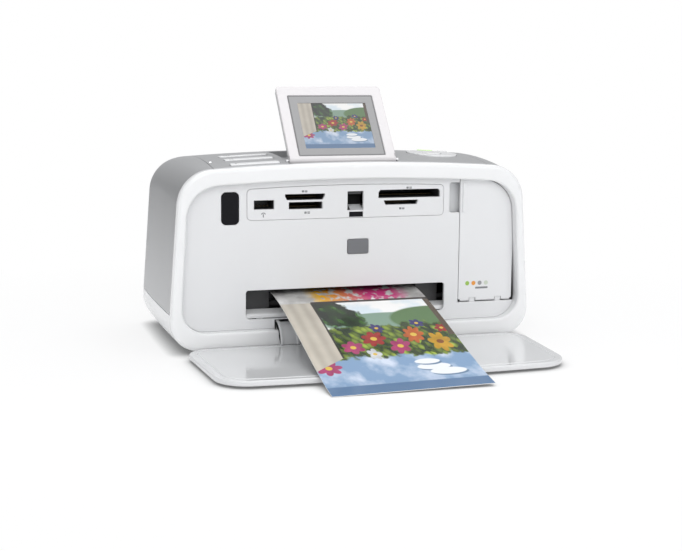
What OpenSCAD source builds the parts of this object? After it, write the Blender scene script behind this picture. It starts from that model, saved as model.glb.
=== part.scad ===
// Compact photo printer with a fold-down front tray, a cartridge door, a tilting screen,
// a rear paper door and the print mechanism inside.
// Origin: on the table, below the middle of the front face. +X right, +Y back, +Z up. Millimetres.

/* [Body] */
// Width of the body at its widest, near the bottom
body_w = 250; // [246:1:256]
// Height of the front face at its middle
face_h = 123.5; // [122:0.5:125]
// Depth from the front face to the rear face
body_d = 121; // [119:0.5:124]
// Height by which the top is crowned between front and rear
crown_rise = 3.2; // [2:0.2:4]
// Wall thickness of the outer shells
wall = 2.4; // [2:0.1:2.8]
// Radius of the front face's upper corners
top_corner_r = 24; // [20:1:27]
// Radius of the front face's lower corners
bottom_corner_r = 19; // [16:1:22]
// Height of the shell's underside above the table
ground_gap = 2.3; // [1.8:0.1:3]
// Height of the seam between the white base and the silver sides
base_seam_z = 26; // [22:1:32]

/* [Front recess] */
// Depth of the recess that the closed tray fills
recess_d = 7; // [7:0.1:7.5]
// Width of the recess at its widest
recess_w = 234.6; // [230:0.2:236]
// Height of the recess's upper edge at its middle
recess_top = 112.8; // [111.5:0.1:114]
// Thickness of the front panel
panel_t = 2.4; // [2:0.1:2.6]

/* [Output tray] */
// Thickness of the tray
tray_t = 3.5; // [3:0.1:4]
// Height of the open tray's top face
tray_top_z = 5; // [4.8:0.1:5.2]
// Distance of each tray arm from the middle
arm_x = 47; // [44:0.5:50]
// Width of each tray arm
arm_w = 13; // [10:0.5:14]

/* [Screen] */
// Width of the screen
screen_w = 73.8; // [70:0.2:74]
// Length of the screen from its hinge edge
screen_l = 63; // [58:0.5:63]
// Thickness of the screen
screen_t = 5.5; // [5:0.1:5.6]
// Tilt of the screen at rest, from lying flat
screen_tilt = 50; // [40:1:60]

/* [Print] */
// Width of a photo print
print_w = 101.6; // [89:0.1:101.6]
// Thickness at which the photo paper is drawn
print_t = 0.3; // [0.25:0.05:0.4]

/* [Mechanism] */
// Radius of the rubber feed roller
feed_r = 6; // [5.8:0.1:6]
// Height of the feed roller's axis
feed_z = 28; // [27.8:0.1:28.2]
// Distance of the feed roller's axis behind the front face
feed_y = 62; // [61:0.5:63]
// Height of the carriage rod
rod_z = 64; // [62:0.5:66]

/* [Hidden] */
$fn = 48;

seam = 0.3;
fine = 0.01;
far = 300;

// Body outline: the arch over the top is one wide arc, the sides lean inwards.
half_w = body_w / 2;
arch_r = 1500;
shoulder_in = 29.5;
side_bulge = 1;
frame_d = 7;
crown_y = 58;
crown_z = face_h + crown_rise;
crown_r = pow(crown_y - frame_d, 2) / (2 * crown_rise);
rear_r = 8;
rear_y = body_d - rear_r;

// Recess outline
recess_z = 14;
recess_bottom_r = 16;
recess_top_r = 22;
recess_shoulder_in = 25.3;
recess_lip = 2;
panel_back = recess_d + panel_t;

// Tray hinge: the axis is placed so that the open tray lies flat and the closed one is flush.
tray_closed_inner_y = recess_d - 1;
tray_axis_sum = 13.5;
tray_axis_y = (tray_closed_inner_y + tray_axis_sum - tray_top_z) / 2;
tray_axis_z = tray_axis_sum - tray_axis_y;
tray_gap = 0.7;
tray_closed_bottom_z = recess_z + 2.15;
arm_r_in = 10;
arm_r_out = 12.6;
arm_rim = 1.8;
arm_rim_h = 0.6;
hub_r = 3.2;
tray_pin_r = 1.4;
run = 0.06;

// Cartridge door
card_x0 = -73;
card_x1 = 63.2;
card_z0 = 86.5;
card_top = 108.4;
card_corner_r = 2.8;
knuckle_xs = [84, 103];
knuckle_w = 4;
door_x0 = 75.6;
door_x1 = 115;
door_z0 = 26.2;
door_axis_y = recess_d + 1.5;
door_axis_z = 27.5;
door_pin_r = 0.7;

// Screen
screen_x = -6.2;
screen_axis_y = 14.5;
screen_axis_z = crown_z - 2.6;
screen_axis_s = 3.2;
screen_pin_r = 1;
tub_x0 = screen_x - screen_w / 2 - 0.65;
tub_x1 = screen_x + screen_w / 2 + 0.65;
tub_y0 = 8.5;
tub_y1 = 79;
tub_floor = screen_axis_z - screen_t / 2 - 0.45;
tub_wall = 1.8;

// Rear paper door
input_w = 132;
input_axis_y = body_d - 2.8;
input_axis_z = 66.2;
input_barrel_r = 2.6;
input_pin_r = 1.2;
input_y0 = rear_y + 0.6;

// Drive train
gear_m = 0.8;
pinion_teeth = 10;
feed_teeth = 30;
idler_teeth = 20;
output_teeth = 25;
mesh_slack = 0.1;
gear_x0 = -99;
gear_t = 5;
idler_y = feed_y - gear_m * (feed_teeth + idler_teeth) / 2 - mesh_slack;
output_y = idler_y - gear_m * (idler_teeth + output_teeth) / 2 - mesh_slack;
pinion_y = feed_y + gear_m * (feed_teeth + pinion_teeth) / 2 + mesh_slack;
output_r = 5;
plate_x0 = -92;
plate_x1 = 112;
plate_t = 1.2;
shaft_run = 0.05;
rod_y = 70;
rod_r = 3;
carriage_x0 = 76;
carriage_w = 34;
belt_y = 80.5;
belt_w = 5;
belt_z = 78;
pulley_r = 6;
pulley_x = 99;
pick_y = 92;
pick_z = 60.8;
pick_r = 8;
motor_r = 11;
motor_ledge_z = 65.5;
bracket_t = 2;
pinch_r = 3.2;
sheet_z = feed_z + feed_r + 0.05;

// Printed sheet: points of its underside from the front edge to the end on the output roller
print_tip_y = -body_d;
print_curve = [
    [print_tip_y, 2.9], [print_tip_y + 20, 7], [print_tip_y + 40, 12.4], [print_tip_y + 60, 18.3],
    [print_tip_y + 80, 23.9], [print_tip_y + 100, 28.4], [-6, 30.5], [9, 31.2], [16, 31.8],
    [output_y, feed_z + output_r + 0.35], [output_y + 4, sheet_z - 0.4]
];

// ---------- outlines ----------

function arc(c, r, a0, a1, n) =
    [for (i = [0:n]) c + r * [cos(a0 + (a1 - a0) * i / n), sin(a0 + (a1 - a0) * i / n)]];

function tail(list) = [for (i = [1:len(list) - 1]) list[i]];

// Right half of an arched outline, from its lower right up to the middle of its top
function half_outline(hw, ht, zb, rb, rt, sh, inset) =
    let (
        cb = [hw - rb, zb + rb],
        za = ht - arch_r,
        cx = hw - sh,
        ct = [cx, za + sqrt(pow(arch_r - rt, 2) - cx * cx)],
        v = ct - cb,
        side = atan2(v[1], v[0]) - acos((rb - rt) / norm(v)),
        phi = atan2(ct[1] - za, cx)
    )
    concat(
        arc(cb, rb - inset, -90, side, 6),
        arc(ct, rt - inset, side, phi, 7),
        tail(arc([0, za], arch_r - inset, phi, 90, 4))
    );

// The whole outline, anticlockwise as seen from the front
function outline(hw, ht, zb, rb, rt, sh, inset) =
    let (h = half_outline(hw, ht, zb, rb, rt, sh, inset), n = len(h))
    concat(h, [for (i = [n - 2:-1:0]) [-h[i][0], h[i][1]]]);

function recess_outline(inset, bottom = recess_z) =
    outline(recess_w / 2, recess_top, bottom, recess_bottom_r, recess_top_r,
            recess_shoulder_in, inset);

// The card panel: its top follows the arch of the recess
function card_outline(grow) =
    let (
        r = card_corner_r + grow,
        za = card_top + grow - arch_r,
        xl = card_x0 - grow + r,
        xr = card_x1 + grow - r,
        zl = za + sqrt(pow(arch_r - r, 2) - xl * xl),
        zr = za + sqrt(pow(arch_r - r, 2) - xr * xr),
        al = atan2(zl - za, xl),
        ar = atan2(zr - za, xr)
    )
    concat(
        arc([xr, card_z0 - grow + r], r, -90, 0, 4),
        arc([xr, zr], r, 0, ar, 4),
        tail(arc([0, za], arch_r, ar, al, 6)),
        tail(arc([xl, zl], r, al, 180, 4)),
        arc([xl, card_z0 - grow + r], r, 180, 270, 4)
    );

function crown(y) = crown_z - pow(y - crown_y, 2) / (2 * crown_r);
function girth(y) = half_w + side_bulge * (1 - pow((y - (frame_d + body_d) / 2)
                    / ((body_d - frame_d) / 2), 2));
function body_outline(y, inset) =
    outline(girth(y), crown(y), ground_gap, bottom_corner_r, top_corner_r, shoulder_in, inset);

// A closed solid through rings [y, outline points]
module loft(rings) {
    n = len(rings[0][1]);
    last = len(rings) - 1;
    points = [for (r = rings, p = r[1]) [p[0], r[0], p[1]]];
    sides = [for (k = [0:last - 1], i = [0:n - 1])
        let (a = k * n, b = a + n, j = (i + 1) % n)
        each [[a + i, a + j, b + i], [a + j, b + j, b + i]]];
    front_cap = [for (i = [n - 1:-1:0]) i];
    rear_cap = [for (i = [0:n - 1]) last * n + i];
    polyhedron(points = points, faces = concat([front_cap], sides, [rear_cap]));
}

// Extrudes an outline in X and Z along +Y
module front_prism(points, y0, y1) {
    translate([0, y1, 0])
        rotate([90, 0, 0])
            linear_extrude(y1 - y0)
                polygon(points);
}

// Extrudes a profile in Y and Z along +X
module side_prism(points, x0, x1) {
    translate([x0, 0, 0])
        rotate([90, 0, 90])
            linear_extrude(x1 - x0)
                polygon(points);
}

module block(lo, hi) {
    translate(lo)
        cube(hi - lo);
}

module rod_along_x(x0, x1, y, z, r) {
    translate([x0, y, z])
        rotate([0, 90, 0])
            cylinder(h = x1 - x0, r = r);
}

module rod_along_y(y0, y1, x, z, r) {
    translate([x, y1, z])
        rotate([90, 0, 0])
            cylinder(h = y1 - y0, r = r);
}

function rounded(x0, z0, x1, z1, r) = concat(
    arc([x1 - r, z0 + r], r, -90, 0, 4), arc([x1 - r, z1 - r], r, 0, 90, 4),
    arc([x0 + r, z1 - r], r, 90, 180, 4), arc([x0 + r, z0 + r], r, 180, 270, 4));

body_ys = [frame_d + seam, 24, 41, 58, 75, 92, 104, rear_y];

// The body's outer form behind the front frame, grown by a small height
module outer_form(grow = 0) {
    loft(concat(
        [for (y = body_ys) [y, body_outline(y, -grow)]],
        [for (a = [22.5:22.5:90])
            [rear_y + (rear_r + grow) * sin(a),
             body_outline(rear_y, rear_r * (1 - cos(a)) - grow * cos(a))]]
    ));
}

module inner_form() {
    r = rear_r - wall;
    loft(concat(
        [[frame_d - 1, body_outline(frame_d, wall)]],
        [for (y = tail(body_ys)) [y, body_outline(y, wall)]],
        [for (a = [30:30:90]) [rear_y + r * sin(a), body_outline(rear_y, wall + r * (1 - cos(a)))]]
    ));
}

// The part of the hollow outer form inside a box
module shell_piece(lo, hi) {
    difference() {
        intersection() {
            outer_form();
            block(lo, hi);
        }
        inner_form();
    }
}

// Space that the tray's arms and their hubs sweep
module arm_clearance() {
    gap = 0.4;
    for (side = [-1, 1])
        difference() {
            rod_along_x(side * arm_x - arm_w / 2 - 1, side * arm_x + arm_w / 2 + 1,
                        tray_axis_y, tray_axis_z, arm_r_out + arm_rim_h + gap);
            rod_along_x(side * arm_x - arm_w, side * arm_x + arm_w, tray_axis_y, tray_axis_z,
                        arm_r_in - gap);
        }
    for (side = [-1, 1])
        intersection() {
            rod_along_x(side * arm_x - arm_w / 2 - 1, side * arm_x + arm_w / 2 + 1,
                        tray_axis_y, tray_axis_z, arm_r_out);
            block([-far, tray_axis_y - hub_r - 0.4, -1], [far, far, far]);
        }
}

// ---------- outer shells ----------

module base() {
    boss_t = 3;
    color("white")
        difference() {
            union() {
                shell_piece([-far, frame_d + seam, -1], [far, far, base_seam_z]);
                for (side = [-1, 1], end = [-1, 1])
                    translate([side * arm_x + end * (arm_w / 2 + 1.2 + boss_t / 2) - boss_t / 2, 0, 0])
                        union() {
                            block([0, 3.4, 5.1], [boss_t, 12, tray_axis_z + 4]);
                            block([0, frame_d + 0.6, ground_gap + 1], [boss_t, 12, 6]);
                        }
            }
            arm_clearance();
            tray_pins(0);
            for (x = [84, 70])
                block([x - 1, body_d - 9, 13], [x + (x > 80 ? 13 : 11), body_d + 1, 25]);
            for (x = [-60:8:60])
                block([x, 44, 0], [x + 3, 60, 10]);
        }
}

module front_frame() {
    round_r = 3;
    lip = recess_outline(-recess_lip);
    color("white")
        difference() {
            union() {
                difference() {
                    loft(concat(
                        [for (a = [0:30:90])
                            [round_r * (1 - cos(a)), body_outline(frame_d, round_r * (1 - sin(a)))]],
                        [[frame_d, body_outline(frame_d, 0)]]));
                    front_prism(body_outline(frame_d, wall), 2.6, frame_d + 1);
                }
                front_prism(lip, 1, panel_back);
            }
            front_prism(recess_outline(0), -1, panel_back + 1);
            loft([[-fine, recess_outline(-1.5 - fine)], [1.5, recess_outline(0)]]);
            arm_clearance();
        }
}

module slot_outline(grow = 0) {
    x0 = -74 - grow;
    x1 = 65 + grow;
    polygon(concat(
        arc([x1 - 3, 20.6 + 3 - grow], 3, -90, 0, 4), arc([x1 - 2, 40 - 2 + grow], 2, 0, 90, 4),
        arc([x0 + 2, 40 - 2 + grow], 2, 90, 180, 4), arc([x0 + 3, 20.6 + 3 - grow], 3, 180, 270, 4)));
}

// Blocks on the front panel that hold the door's pin
module knuckles() {
    for (x = knuckle_xs)
        block([x, recess_d + 0.6, 20], [x + knuckle_w, recess_d + 4.5, 29.2]);
}

module front_panel() {
    color("whitesmoke")
        difference() {
            union() {
                front_prism(recess_outline(0.05), recess_d, panel_back);
                block([66.4, panel_back - fine, 86.8], [75.2, panel_back + 4.8, 109.6]);
                knuckles();
            }
            block([door_x0 - 0.4, 0, door_z0 - 0.6], [far, recess_d + 0.6 - fine, far]);
            difference() {
                block([door_x0 - 0.4, 0, door_z0 - 0.6], [far, far, far]);
                knuckles();
            }
            front_prism(card_outline(0.2), 0, panel_back + 1);
            front_prism(rounded(-90.2, 83.8, -78.4, 105.2, 3.2), 0, panel_back + 1);
            front_prism(rounded(-4.7, 61.9, 10.2, 72.1, 1.2), 0, recess_d + 0.9);
            front_prism(rounded(67.7, 88, 78, 108.4, 1.5), 0, panel_back + 3.6);
            translate([0, panel_back + 1, 0])
                rotate([90, 0, 0])
                    linear_extrude(panel_back)
                        slot_outline();
            rod_along_x(80, 110, door_axis_y, door_axis_z, door_pin_r);
            arm_clearance();
        }
}

// Mouths of the card slots in X and Z: wide ones have cut corners, as the cards' sockets do
card_slots = [
    [[-46.2, 99], [-21.8, 99], [-20.4, 101.5], [-20.4, 103], [-47.6, 103], [-47.6, 101.5]],
    [[-45, 93], [-22, 93], [-22, 97.7], [-45, 97.7]],
    [[16.8, 99], [60.7, 99], [60.7, 103], [59.4, 104.5], [18.1, 104.5], [16.8, 103]],
    [[21.8, 94.4], [44, 94.4], [45.3, 97.4], [20.5, 97.4]]
];
camera_port = [[-68.5, 93.4], [-54.9, 93.4], [-54.9, 99.4], [-68.5, 99.4]];

module card_panel() {
    color("whitesmoke")
        difference() {
            front_prism(card_outline(0), recess_d, panel_back);
            for (s = concat(card_slots, [camera_port]))
                front_prism(s, 0, panel_back + 1);
            block([-4.8, 0, 91.4], [6.3, far, 104]);
            block([-3.6, 0, 86.9], [6.1, recess_d + 1, 90.4]);
        }
}

module side_cover(mirrored) {
    color("silver")
        mirror([mirrored ? 1 : 0, 0, 0])
            shell_piece([-far, frame_d + seam, base_seam_z + seam], [-95.15, rear_y + 0.3, far]);
}
module side_cover_left() { side_cover(false); }
module side_cover_right() { side_cover(true); }

// Buttons through the top: [x, y, half length, half width], round where both halves are equal
bar_x = -66;
bar_hx = 16.5;
bar_hy = 3;
bar_ys = [15, 33, 51];
nav_at = [69, 47];
nav_r = 17.5;
ok_r = 6;
print_at = [76, 80];
print_r = 5.5;
cancel_at = [44, 70];
power_at = [88, 76];
small_r = 3.6;

module column(x, y, hx, hy, z0, z1) {
    translate([x, y, z0])
        if (hx == hy) cylinder(h = z1 - z0, r = hx);
        else block([-hx, -hy, 0], [hx, hy, z1 - z0]);
}

module top_panel() {
    hole = 0.35;
    color("silver")
        difference() {
            union() {
                shell_piece([-94.85, frame_d + seam, 100], [94.85, rear_y + 0.3, far]);
                intersection() {
                    outer_form();
                    block([tub_x0 - tub_wall, frame_d + seam, tub_floor - 3.2],
                          [tub_x1 + tub_wall, tub_y1 + tub_wall, far]);
                }
            }
            block([tub_x0, tub_y0, tub_floor], [tub_x1, tub_y1, far]);
            rod_along_x(tub_x0, tub_x1, screen_axis_y, screen_axis_z, 4.75);
            for (y = bar_ys)
                column(bar_x, y, bar_hx + hole, bar_hy + hole, 110, 130);
            column(nav_at[0], nav_at[1], nav_r + hole, nav_r + hole, 110, 130);
            column(print_at[0], print_at[1], print_r + hole, print_r + hole, 110, 130);
            column(cancel_at[0], cancel_at[1], small_r + hole, small_r + hole, 110, 130);
            column(power_at[0], power_at[1], small_r + hole, small_r + hole, 110, 130);
            column(-92.6, 29.5, 1.2, 1.2, 110, 130);
            screen_pins(0);
        }
}

ear_x = 63.6;
ear_t = 4.4;

// Ear that holds one end of the rear door's hinge pin
module rear_ear(side) {
    x0 = side * ear_x - ear_t / 2;
    block([x0, input_axis_y - 2.4, input_axis_z - 10], [x0 + ear_t, body_d - 0.3, input_axis_z + 2.6]);
}

module rear_cover() {
    color("gainsboro")
        difference() {
            union() {
                shell_piece([-far, rear_y + 0.6, base_seam_z + seam], [far, far, far]);
                for (side = [-1, 1])
                    rear_ear(side);
            }
            difference() {
                block([-input_w / 2 - 0.4, 0, input_axis_z - input_barrel_r - 0.4],
                      [input_w / 2 + 0.4, far, far]);
                for (side = [-1, 1])
                    rear_ear(side);
            }
            input_pins(0);
        }
}

module input_door() {
    color("gainsboro")
        difference() {
            union() {
                intersection() {
                    outer_form();
                    difference() {
                        block([-input_w / 2, input_y0, input_axis_z], [input_w / 2, far, far]);
                        for (side = [-1, 1])
                            translate([side * ear_x - ear_t / 2 - 0.4, 0, 0])
                                cube([ear_t + 0.8 + 1, far, input_axis_z + 4]);
                    }
                }
                rod_along_x(-60.6, 60.6, input_axis_y, input_axis_z, input_barrel_r);
            }
            block([-40.6, input_y0 + 1.8, 70.4], [40.6, body_d - 3, far]);
            block([-11, body_d - 4, 111], [11, far, far]);
            block([34, 0, 95.6], [60, input_y0 + 1.8 + fine, 99.4]);
            rod_along_x(-far, far, input_axis_y, input_axis_z, input_pin_r + run);
        }
}

module extender() {
    color("lightgray")
        difference() {
            block([-40.2, input_y0 + 2.15, 70.8], [40.2, body_d - 3.4, 119.8]);
            block([-28, 0, 78], [-6, far, 106]);
            block([6, 0, 78], [28, far, 106]);
        }
}

module width_guide() {
    color("lightgray") {
        block([52.6, input_y0 - 5, 84], [54.6, input_y0 - 0.3, 112]);
        block([51, input_y0 - 1.6, 84], [57, input_y0 - 0.3, 112]);
        block([52, input_y0 - 0.4, 96], [56, input_y0 + 1.7, 99]);
    }
}

// ---------- output tray ----------

module tray_closed_plate(inset, y0, y1) {
    front_prism(recess_outline(tray_gap + inset, tray_closed_bottom_z - tray_gap), y0, y1);
}

module annulus_sector(x0, x1, r0, r1, a0, a1) {
    translate([x0, tray_axis_y, tray_axis_z])
        rotate([90, 0, 90])
            linear_extrude(x1 - x0)
                polygon(concat(arc([0, 0], r1, a0, a1, 12), arc([0, 0], r0, a1, a0, 12)));
}

module tray_arm(x) {
    hx = arm_w / 2;
    annulus_sector(x - hx, x + hx, arm_r_in + 0.5, arm_r_out - 0.5, 80, 187);
    for (side = [-1, 1])
        translate([side * (hx - arm_rim / 2), 0, 0])
            annulus_sector(x - arm_rim / 2, x + arm_rim / 2, arm_r_in, arm_r_out + arm_rim_h, 80, 184);
    annulus_sector(x - hx, x + hx, 1, arm_r_in + 1, 80, 97);
    rod_along_x(x - hx, x + hx, tray_axis_y, tray_axis_z, hub_r);
}

module output_tray() {
    closed_y0 = tray_axis_y + tray_top_z - tray_axis_z - tray_t;
    hook_y = -84.5;
    color("white")
        difference() {
            union() {
                translate([0, tray_axis_y, tray_axis_z])
                    rotate([90, 0, 0])
                        translate([0, -tray_axis_y, -tray_axis_z]) {
                            tray_closed_plate(0, closed_y0 + 1, closed_y0 + tray_t);
                            tray_closed_plate(1, closed_y0, closed_y0 + 1.5);
                        }
                for (side = [-1, 1])
                    tray_arm(side * arm_x);
                block([-3.2, hook_y - 3, tray_top_z - 1], [4.7, hook_y - 1, tray_top_z + 4.5]);
                block([-3.2, hook_y - 3, tray_top_z + 3], [4.7, hook_y + 1, tray_top_z + 4.5]);
            }
            rod_along_x(-far, far, tray_axis_y, tray_axis_z, tray_pin_r + run);
        }
}

module tray_latch() {
    color("gray")
        difference() {
            block([-4.2, panel_back + 0.3, 101.8], [5.7, 14.4, 103.6]);
            block([-6, 0, 103], [-3, far, 110]);
        }
    color("gray")
        block([-3, 12, 101.8], [4.6, 14.4, 110]);
}

// ---------- cartridge door and pins ----------

module cartridge_door() {
    knuckle_gap = 0.4;
    door_skin = 0.4;
    color("whitesmoke")
        difference() {
            union() {
                intersection() {
                    front_prism(recess_outline(0.25), recess_d, recess_d + 2.2);
                    block([door_x0, 0, door_axis_z], [door_x1, far, far]);
                }
                rod_along_x(door_x0 + 1.4, door_x1 - 1, door_axis_y, door_axis_z, 1.5);
                for (x = [79, 108])
                    block([x, recess_d + 2, 32], [x + 1.2, recess_d + 6, 99]);
                block([79, recess_d + 2, 62], [109, recess_d + 6, 63.2]);
                block([77.2, recess_d - 1, 88], [79.6, recess_d + 1, 108]);
            }
            for (x = knuckle_xs) {
                block([x - knuckle_gap, recess_d + door_skin, 0],
                      [x + knuckle_w + knuckle_gap, far, 30.4]);
                block([x - knuckle_gap, 0, 0], [x + knuckle_w + knuckle_gap, far, 28.5]);
            }
            rod_along_x(0, far, door_axis_y, door_axis_z, door_pin_r + run);
        }
}

module tray_pins(play) {
    for (side = [-1, 1])
        rod_along_x(side * arm_x - 11, side * arm_x + 11, tray_axis_y, tray_axis_z, tray_pin_r + play);
}

module screen_pins(play) {
    rod_along_x(tub_x0 - tub_wall + 0.4, tub_x0 + 9, screen_axis_y, screen_axis_z, screen_pin_r + play);
    rod_along_x(tub_x1 - 9, tub_x1 + tub_wall - 0.4, screen_axis_y, screen_axis_z, screen_pin_r + play);
}

module input_pins(play) {
    for (side = [-1, 1])
        rod_along_x(side * 58 - 7.5, side * 58 + 7.5, input_axis_y, input_axis_z, input_pin_r + play);
}

module hinge_pins() {
    color("dimgray") {
        tray_pins(0);
        screen_pins(0);
        input_pins(0);
        rod_along_x(80, 110, door_axis_y, door_axis_z, door_pin_r);
    }
}

// ---------- screen ----------

// Places a piece drawn flat: X along the hinge, Y away from it, Z out of the screen's face
module on_screen() {
    translate([screen_x, screen_axis_y, screen_axis_z])
        rotate([screen_tilt, 0, 0])
            translate([0, -screen_axis_s, 0])
                children();
}

module plate(x0, y0, x1, y1, z0, z1, r) {
    translate([0, 0, z0])
        linear_extrude(z1 - z0)
            polygon(rounded(x0, y0, x1, y1, r));
}

glass_w = 60.2;
glass_y0 = 5.2;
glass_y1 = 55.4;
lcd_w = 48.2;
lcd_y0 = 11.4;
lcd_y1 = 49;

module screen_bezel() {
    hw = screen_w / 2;
    ht = screen_t / 2;
    color("white")
        on_screen()
            difference() {
                union() {
                    plate(-hw, screen_axis_s, hw, screen_l, ht - 3, ht, 2.2);
                    block([-hw, screen_axis_s, ht - 3], [hw, screen_axis_s + 3, ht]);
                    rod_along_x(-hw, hw, screen_axis_s, 0, ht);
                }
                plate(-glass_w / 2, glass_y0, glass_w / 2, glass_y1, ht - 1.1, ht + 1, 0.8);
                plate(-glass_w / 2 + 3, glass_y0 + 2, glass_w / 2 - 3, glass_y1 - 3, -ht - 1, ht, 0.8);
                rod_along_x(-far, far, screen_axis_s, 0, screen_pin_r + run);
            }
}

module screen_back() {
    hw = screen_w / 2;
    ht = screen_t / 2;
    color("silver")
        on_screen()
            difference() {
                plate(-hw + 0.3, screen_axis_s + ht + 0.6, hw - 0.3, screen_l - 0.3, -ht, ht - 3.02, 2);
                plate(-glass_w / 2 + 2, glass_y0 + 2, glass_w / 2 - 2, glass_y1 - 2,
                      -ht + 1.2, ht, 0.8);
            }
}

module screen_glass() {
    ht = screen_t / 2;
    color("dimgray")
        on_screen()
            difference() {
                plate(-glass_w / 2 + 0.1, glass_y0 + 0.1, glass_w / 2 - 0.1, glass_y1 - 0.1,
                      ht - 1.1, ht - 0.25, 0.7);
                plate(-lcd_w / 2, lcd_y0, lcd_w / 2, lcd_y1, ht - 2, ht + 1, 0.4);
            }
}

module lcd_panel() {
    ht = screen_t / 2;
    color("lightskyblue")
        on_screen() {
            block([-lcd_w / 2 + 0.05, lcd_y0 + 0.05, ht - 1.6],
                  [lcd_w / 2 - 0.05, lcd_y1 - 0.05, ht - 0.5]);
            block([-lcd_w / 2 - 1.6, lcd_y0 - 1.6, ht - 3.4], [lcd_w / 2 + 1.6, lcd_y1 + 1.6, ht - 1.6]);
        }
}

// ---------- front details ----------

module ir_window() {
    color("black")
        front_prism(rounded(-90, 84, -78.6, 105, 3), recess_d - 0.1, panel_back);
}

module socket_body(x0, z0, x1, z1, depth, mouths) {
    difference() {
        block([x0, panel_back + 0.1, z0], [x1, panel_back + depth, z1]);
        for (m = mouths)
            front_prism(m, 0, panel_back + depth - 1.2);
    }
}

module card_sockets() {
    color("dimgray") {
        socket_body(-49.5, 91, -18.5, 106.5, 32, [card_slots[0], card_slots[1]]);
        socket_body(15, 92.6, 62.5, 106.5, 38, [card_slots[2], card_slots[3]]);
        socket_body(-70, 91.6, -53.4, 101, 15, [camera_port]);
    }
}

module card_reader_board() {
    color("seagreen")
        difference() {
            block([-72, panel_back + 1, 106.5], [64, 54, 108.1]);
            for (x = [-66, 58])
                translate([x, 48, 100])
                    cylinder(h = 20, r = 1.6);
            block([-7, 0, 100], [9, 20, 120]);
        }
    color("dimgray")
        for (x = [-40, -10, 34])
            block([x - 6, 22, 108.1], [x + 6, 34, 109.6]);
}

module badge_plate() {
    color("gray")
        front_prism(rounded(-4.6, 62, 10.1, 72, 1.1), recess_d - 0.4, recess_d + 0.85);
}

module status_led() {
    color("white")
        translate([-92.6, 29.5, 0])
            intersection() {
                translate([0, 0, 117])
                    cylinder(h = 10, r = 1.15);
                translate([92.6, -29.5, 0])
                    outer_form(0.3);
            }
}

// ---------- buttons ----------

button_bottom = 117.4;
button_proud = 0.6;

module button(x, y, hx, hy, proud) {
    intersection() {
        column(x, y, hx, hy, button_bottom, 130);
        outer_form(proud);
    }
    column(x, y, hx == hy ? hx + 1 : hx + 0.8, hx == hy ? hy + 1 : hy + 0.8,
           button_bottom, button_bottom + 1);
}

module bar_button_front() { color("white") button(bar_x, bar_ys[0], bar_hx, bar_hy, button_proud); }
module bar_button_middle() { color("white") button(bar_x, bar_ys[1], bar_hx, bar_hy, button_proud); }
module bar_button_rear() { color("white") button(bar_x, bar_ys[2], bar_hx, bar_hy, button_proud); }

module nav_ring() {
    color("white")
        difference() {
            button(nav_at[0], nav_at[1], nav_r, nav_r, 0.9);
            column(nav_at[0], nav_at[1], ok_r + 1.4, ok_r + 1.4, 110, 140);
        }
}
module ok_button() { color("gainsboro") button(nav_at[0], nav_at[1], ok_r, ok_r, 0.7); }
module print_button() { color("palegreen") button(print_at[0], print_at[1], print_r, print_r, 1); }
module cancel_button() { color("white") button(cancel_at[0], cancel_at[1], small_r, small_r, 0.7); }
module power_button() { color("white") button(power_at[0], power_at[1], small_r, small_r, 0.7); }

module control_board() {
    dome_top = button_bottom - 1.2;
    board_top = 114.2;
    spots = concat([for (y = bar_ys) [bar_x, y]],
                   [[nav_at[0], nav_at[1]], [print_at[0], print_at[1]],
                    [cancel_at[0], cancel_at[1]], [power_at[0], power_at[1]]],
                   [for (a = [45:90:315]) nav_at + 12 * [cos(a), sin(a)]]);
    color("seagreen") {
        block([-84, 10, board_top - 1.6], [-47.5, 60, board_top]);
        block([36, 26, board_top - 1.6], [92, 88, board_top]);
    }
    color("gray")
        for (s = spots)
            translate([s[0], s[1], board_top])
                cylinder(h = dome_top - board_top, r = 2.4);
}

// ---------- underside and rear ----------

feet_at = [[-98, 22], [98, 22], [-98, 102], [98, 102]];

module feet() {
    color("dimgray")
        for (f = feet_at)
            translate([f[0], f[1], 0])
                cylinder(h = ground_gap, r = 6);
}

module case_screws() {
    color("gray")
        for (x = [-70, 30, 90], y = [frame_d + 30, body_d - 26])
            translate([x, y, 0.9])
                difference() {
                    cylinder(h = ground_gap - 0.9, r = 3);
                    translate([0, 0, -0.2])
                        cylinder(h = 1, r = 1.1, $fn = 6);
                }
}

module power_inlet() {
    color("black")
        difference() {
            block([83.2, body_d - 14, 13.2], [95.8, body_d - 0.6, 24.8]);
            block([85, body_d - 12, 15], [94, body_d + 1, 23]);
        }
}

module rear_usb_socket() {
    color("gray")
        difference() {
            block([69.2, body_d - 14, 13.2], [80.8, body_d - 0.6, 24.8]);
            block([71, body_d - 12, 15], [79, body_d + 1, 23]);
        }
}

// ---------- mechanism ----------

board_z = 9;

module main_board() {
    color("seagreen")
        block([-80, 68, board_z], [66, 104, board_z + 1.6]);
    color("dimgray") {
        block([-60, 76, board_z + 1.6], [-40, 96, board_z + 3.6]);
        block([-20, 74, board_z + 1.6], [-6, 86, board_z + 3.2]);
        block([-20, 90, board_z + 1.6], [-6, 100, board_z + 3.2]);
        block([20, 72, board_z + 1.6], [52, 78, board_z + 6]);
    }
    color("silver")
        for (x = [8, 30, 44])
            translate([x, 92, board_z + 1.6])
                cylinder(h = 9, r = 4);
}

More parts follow.
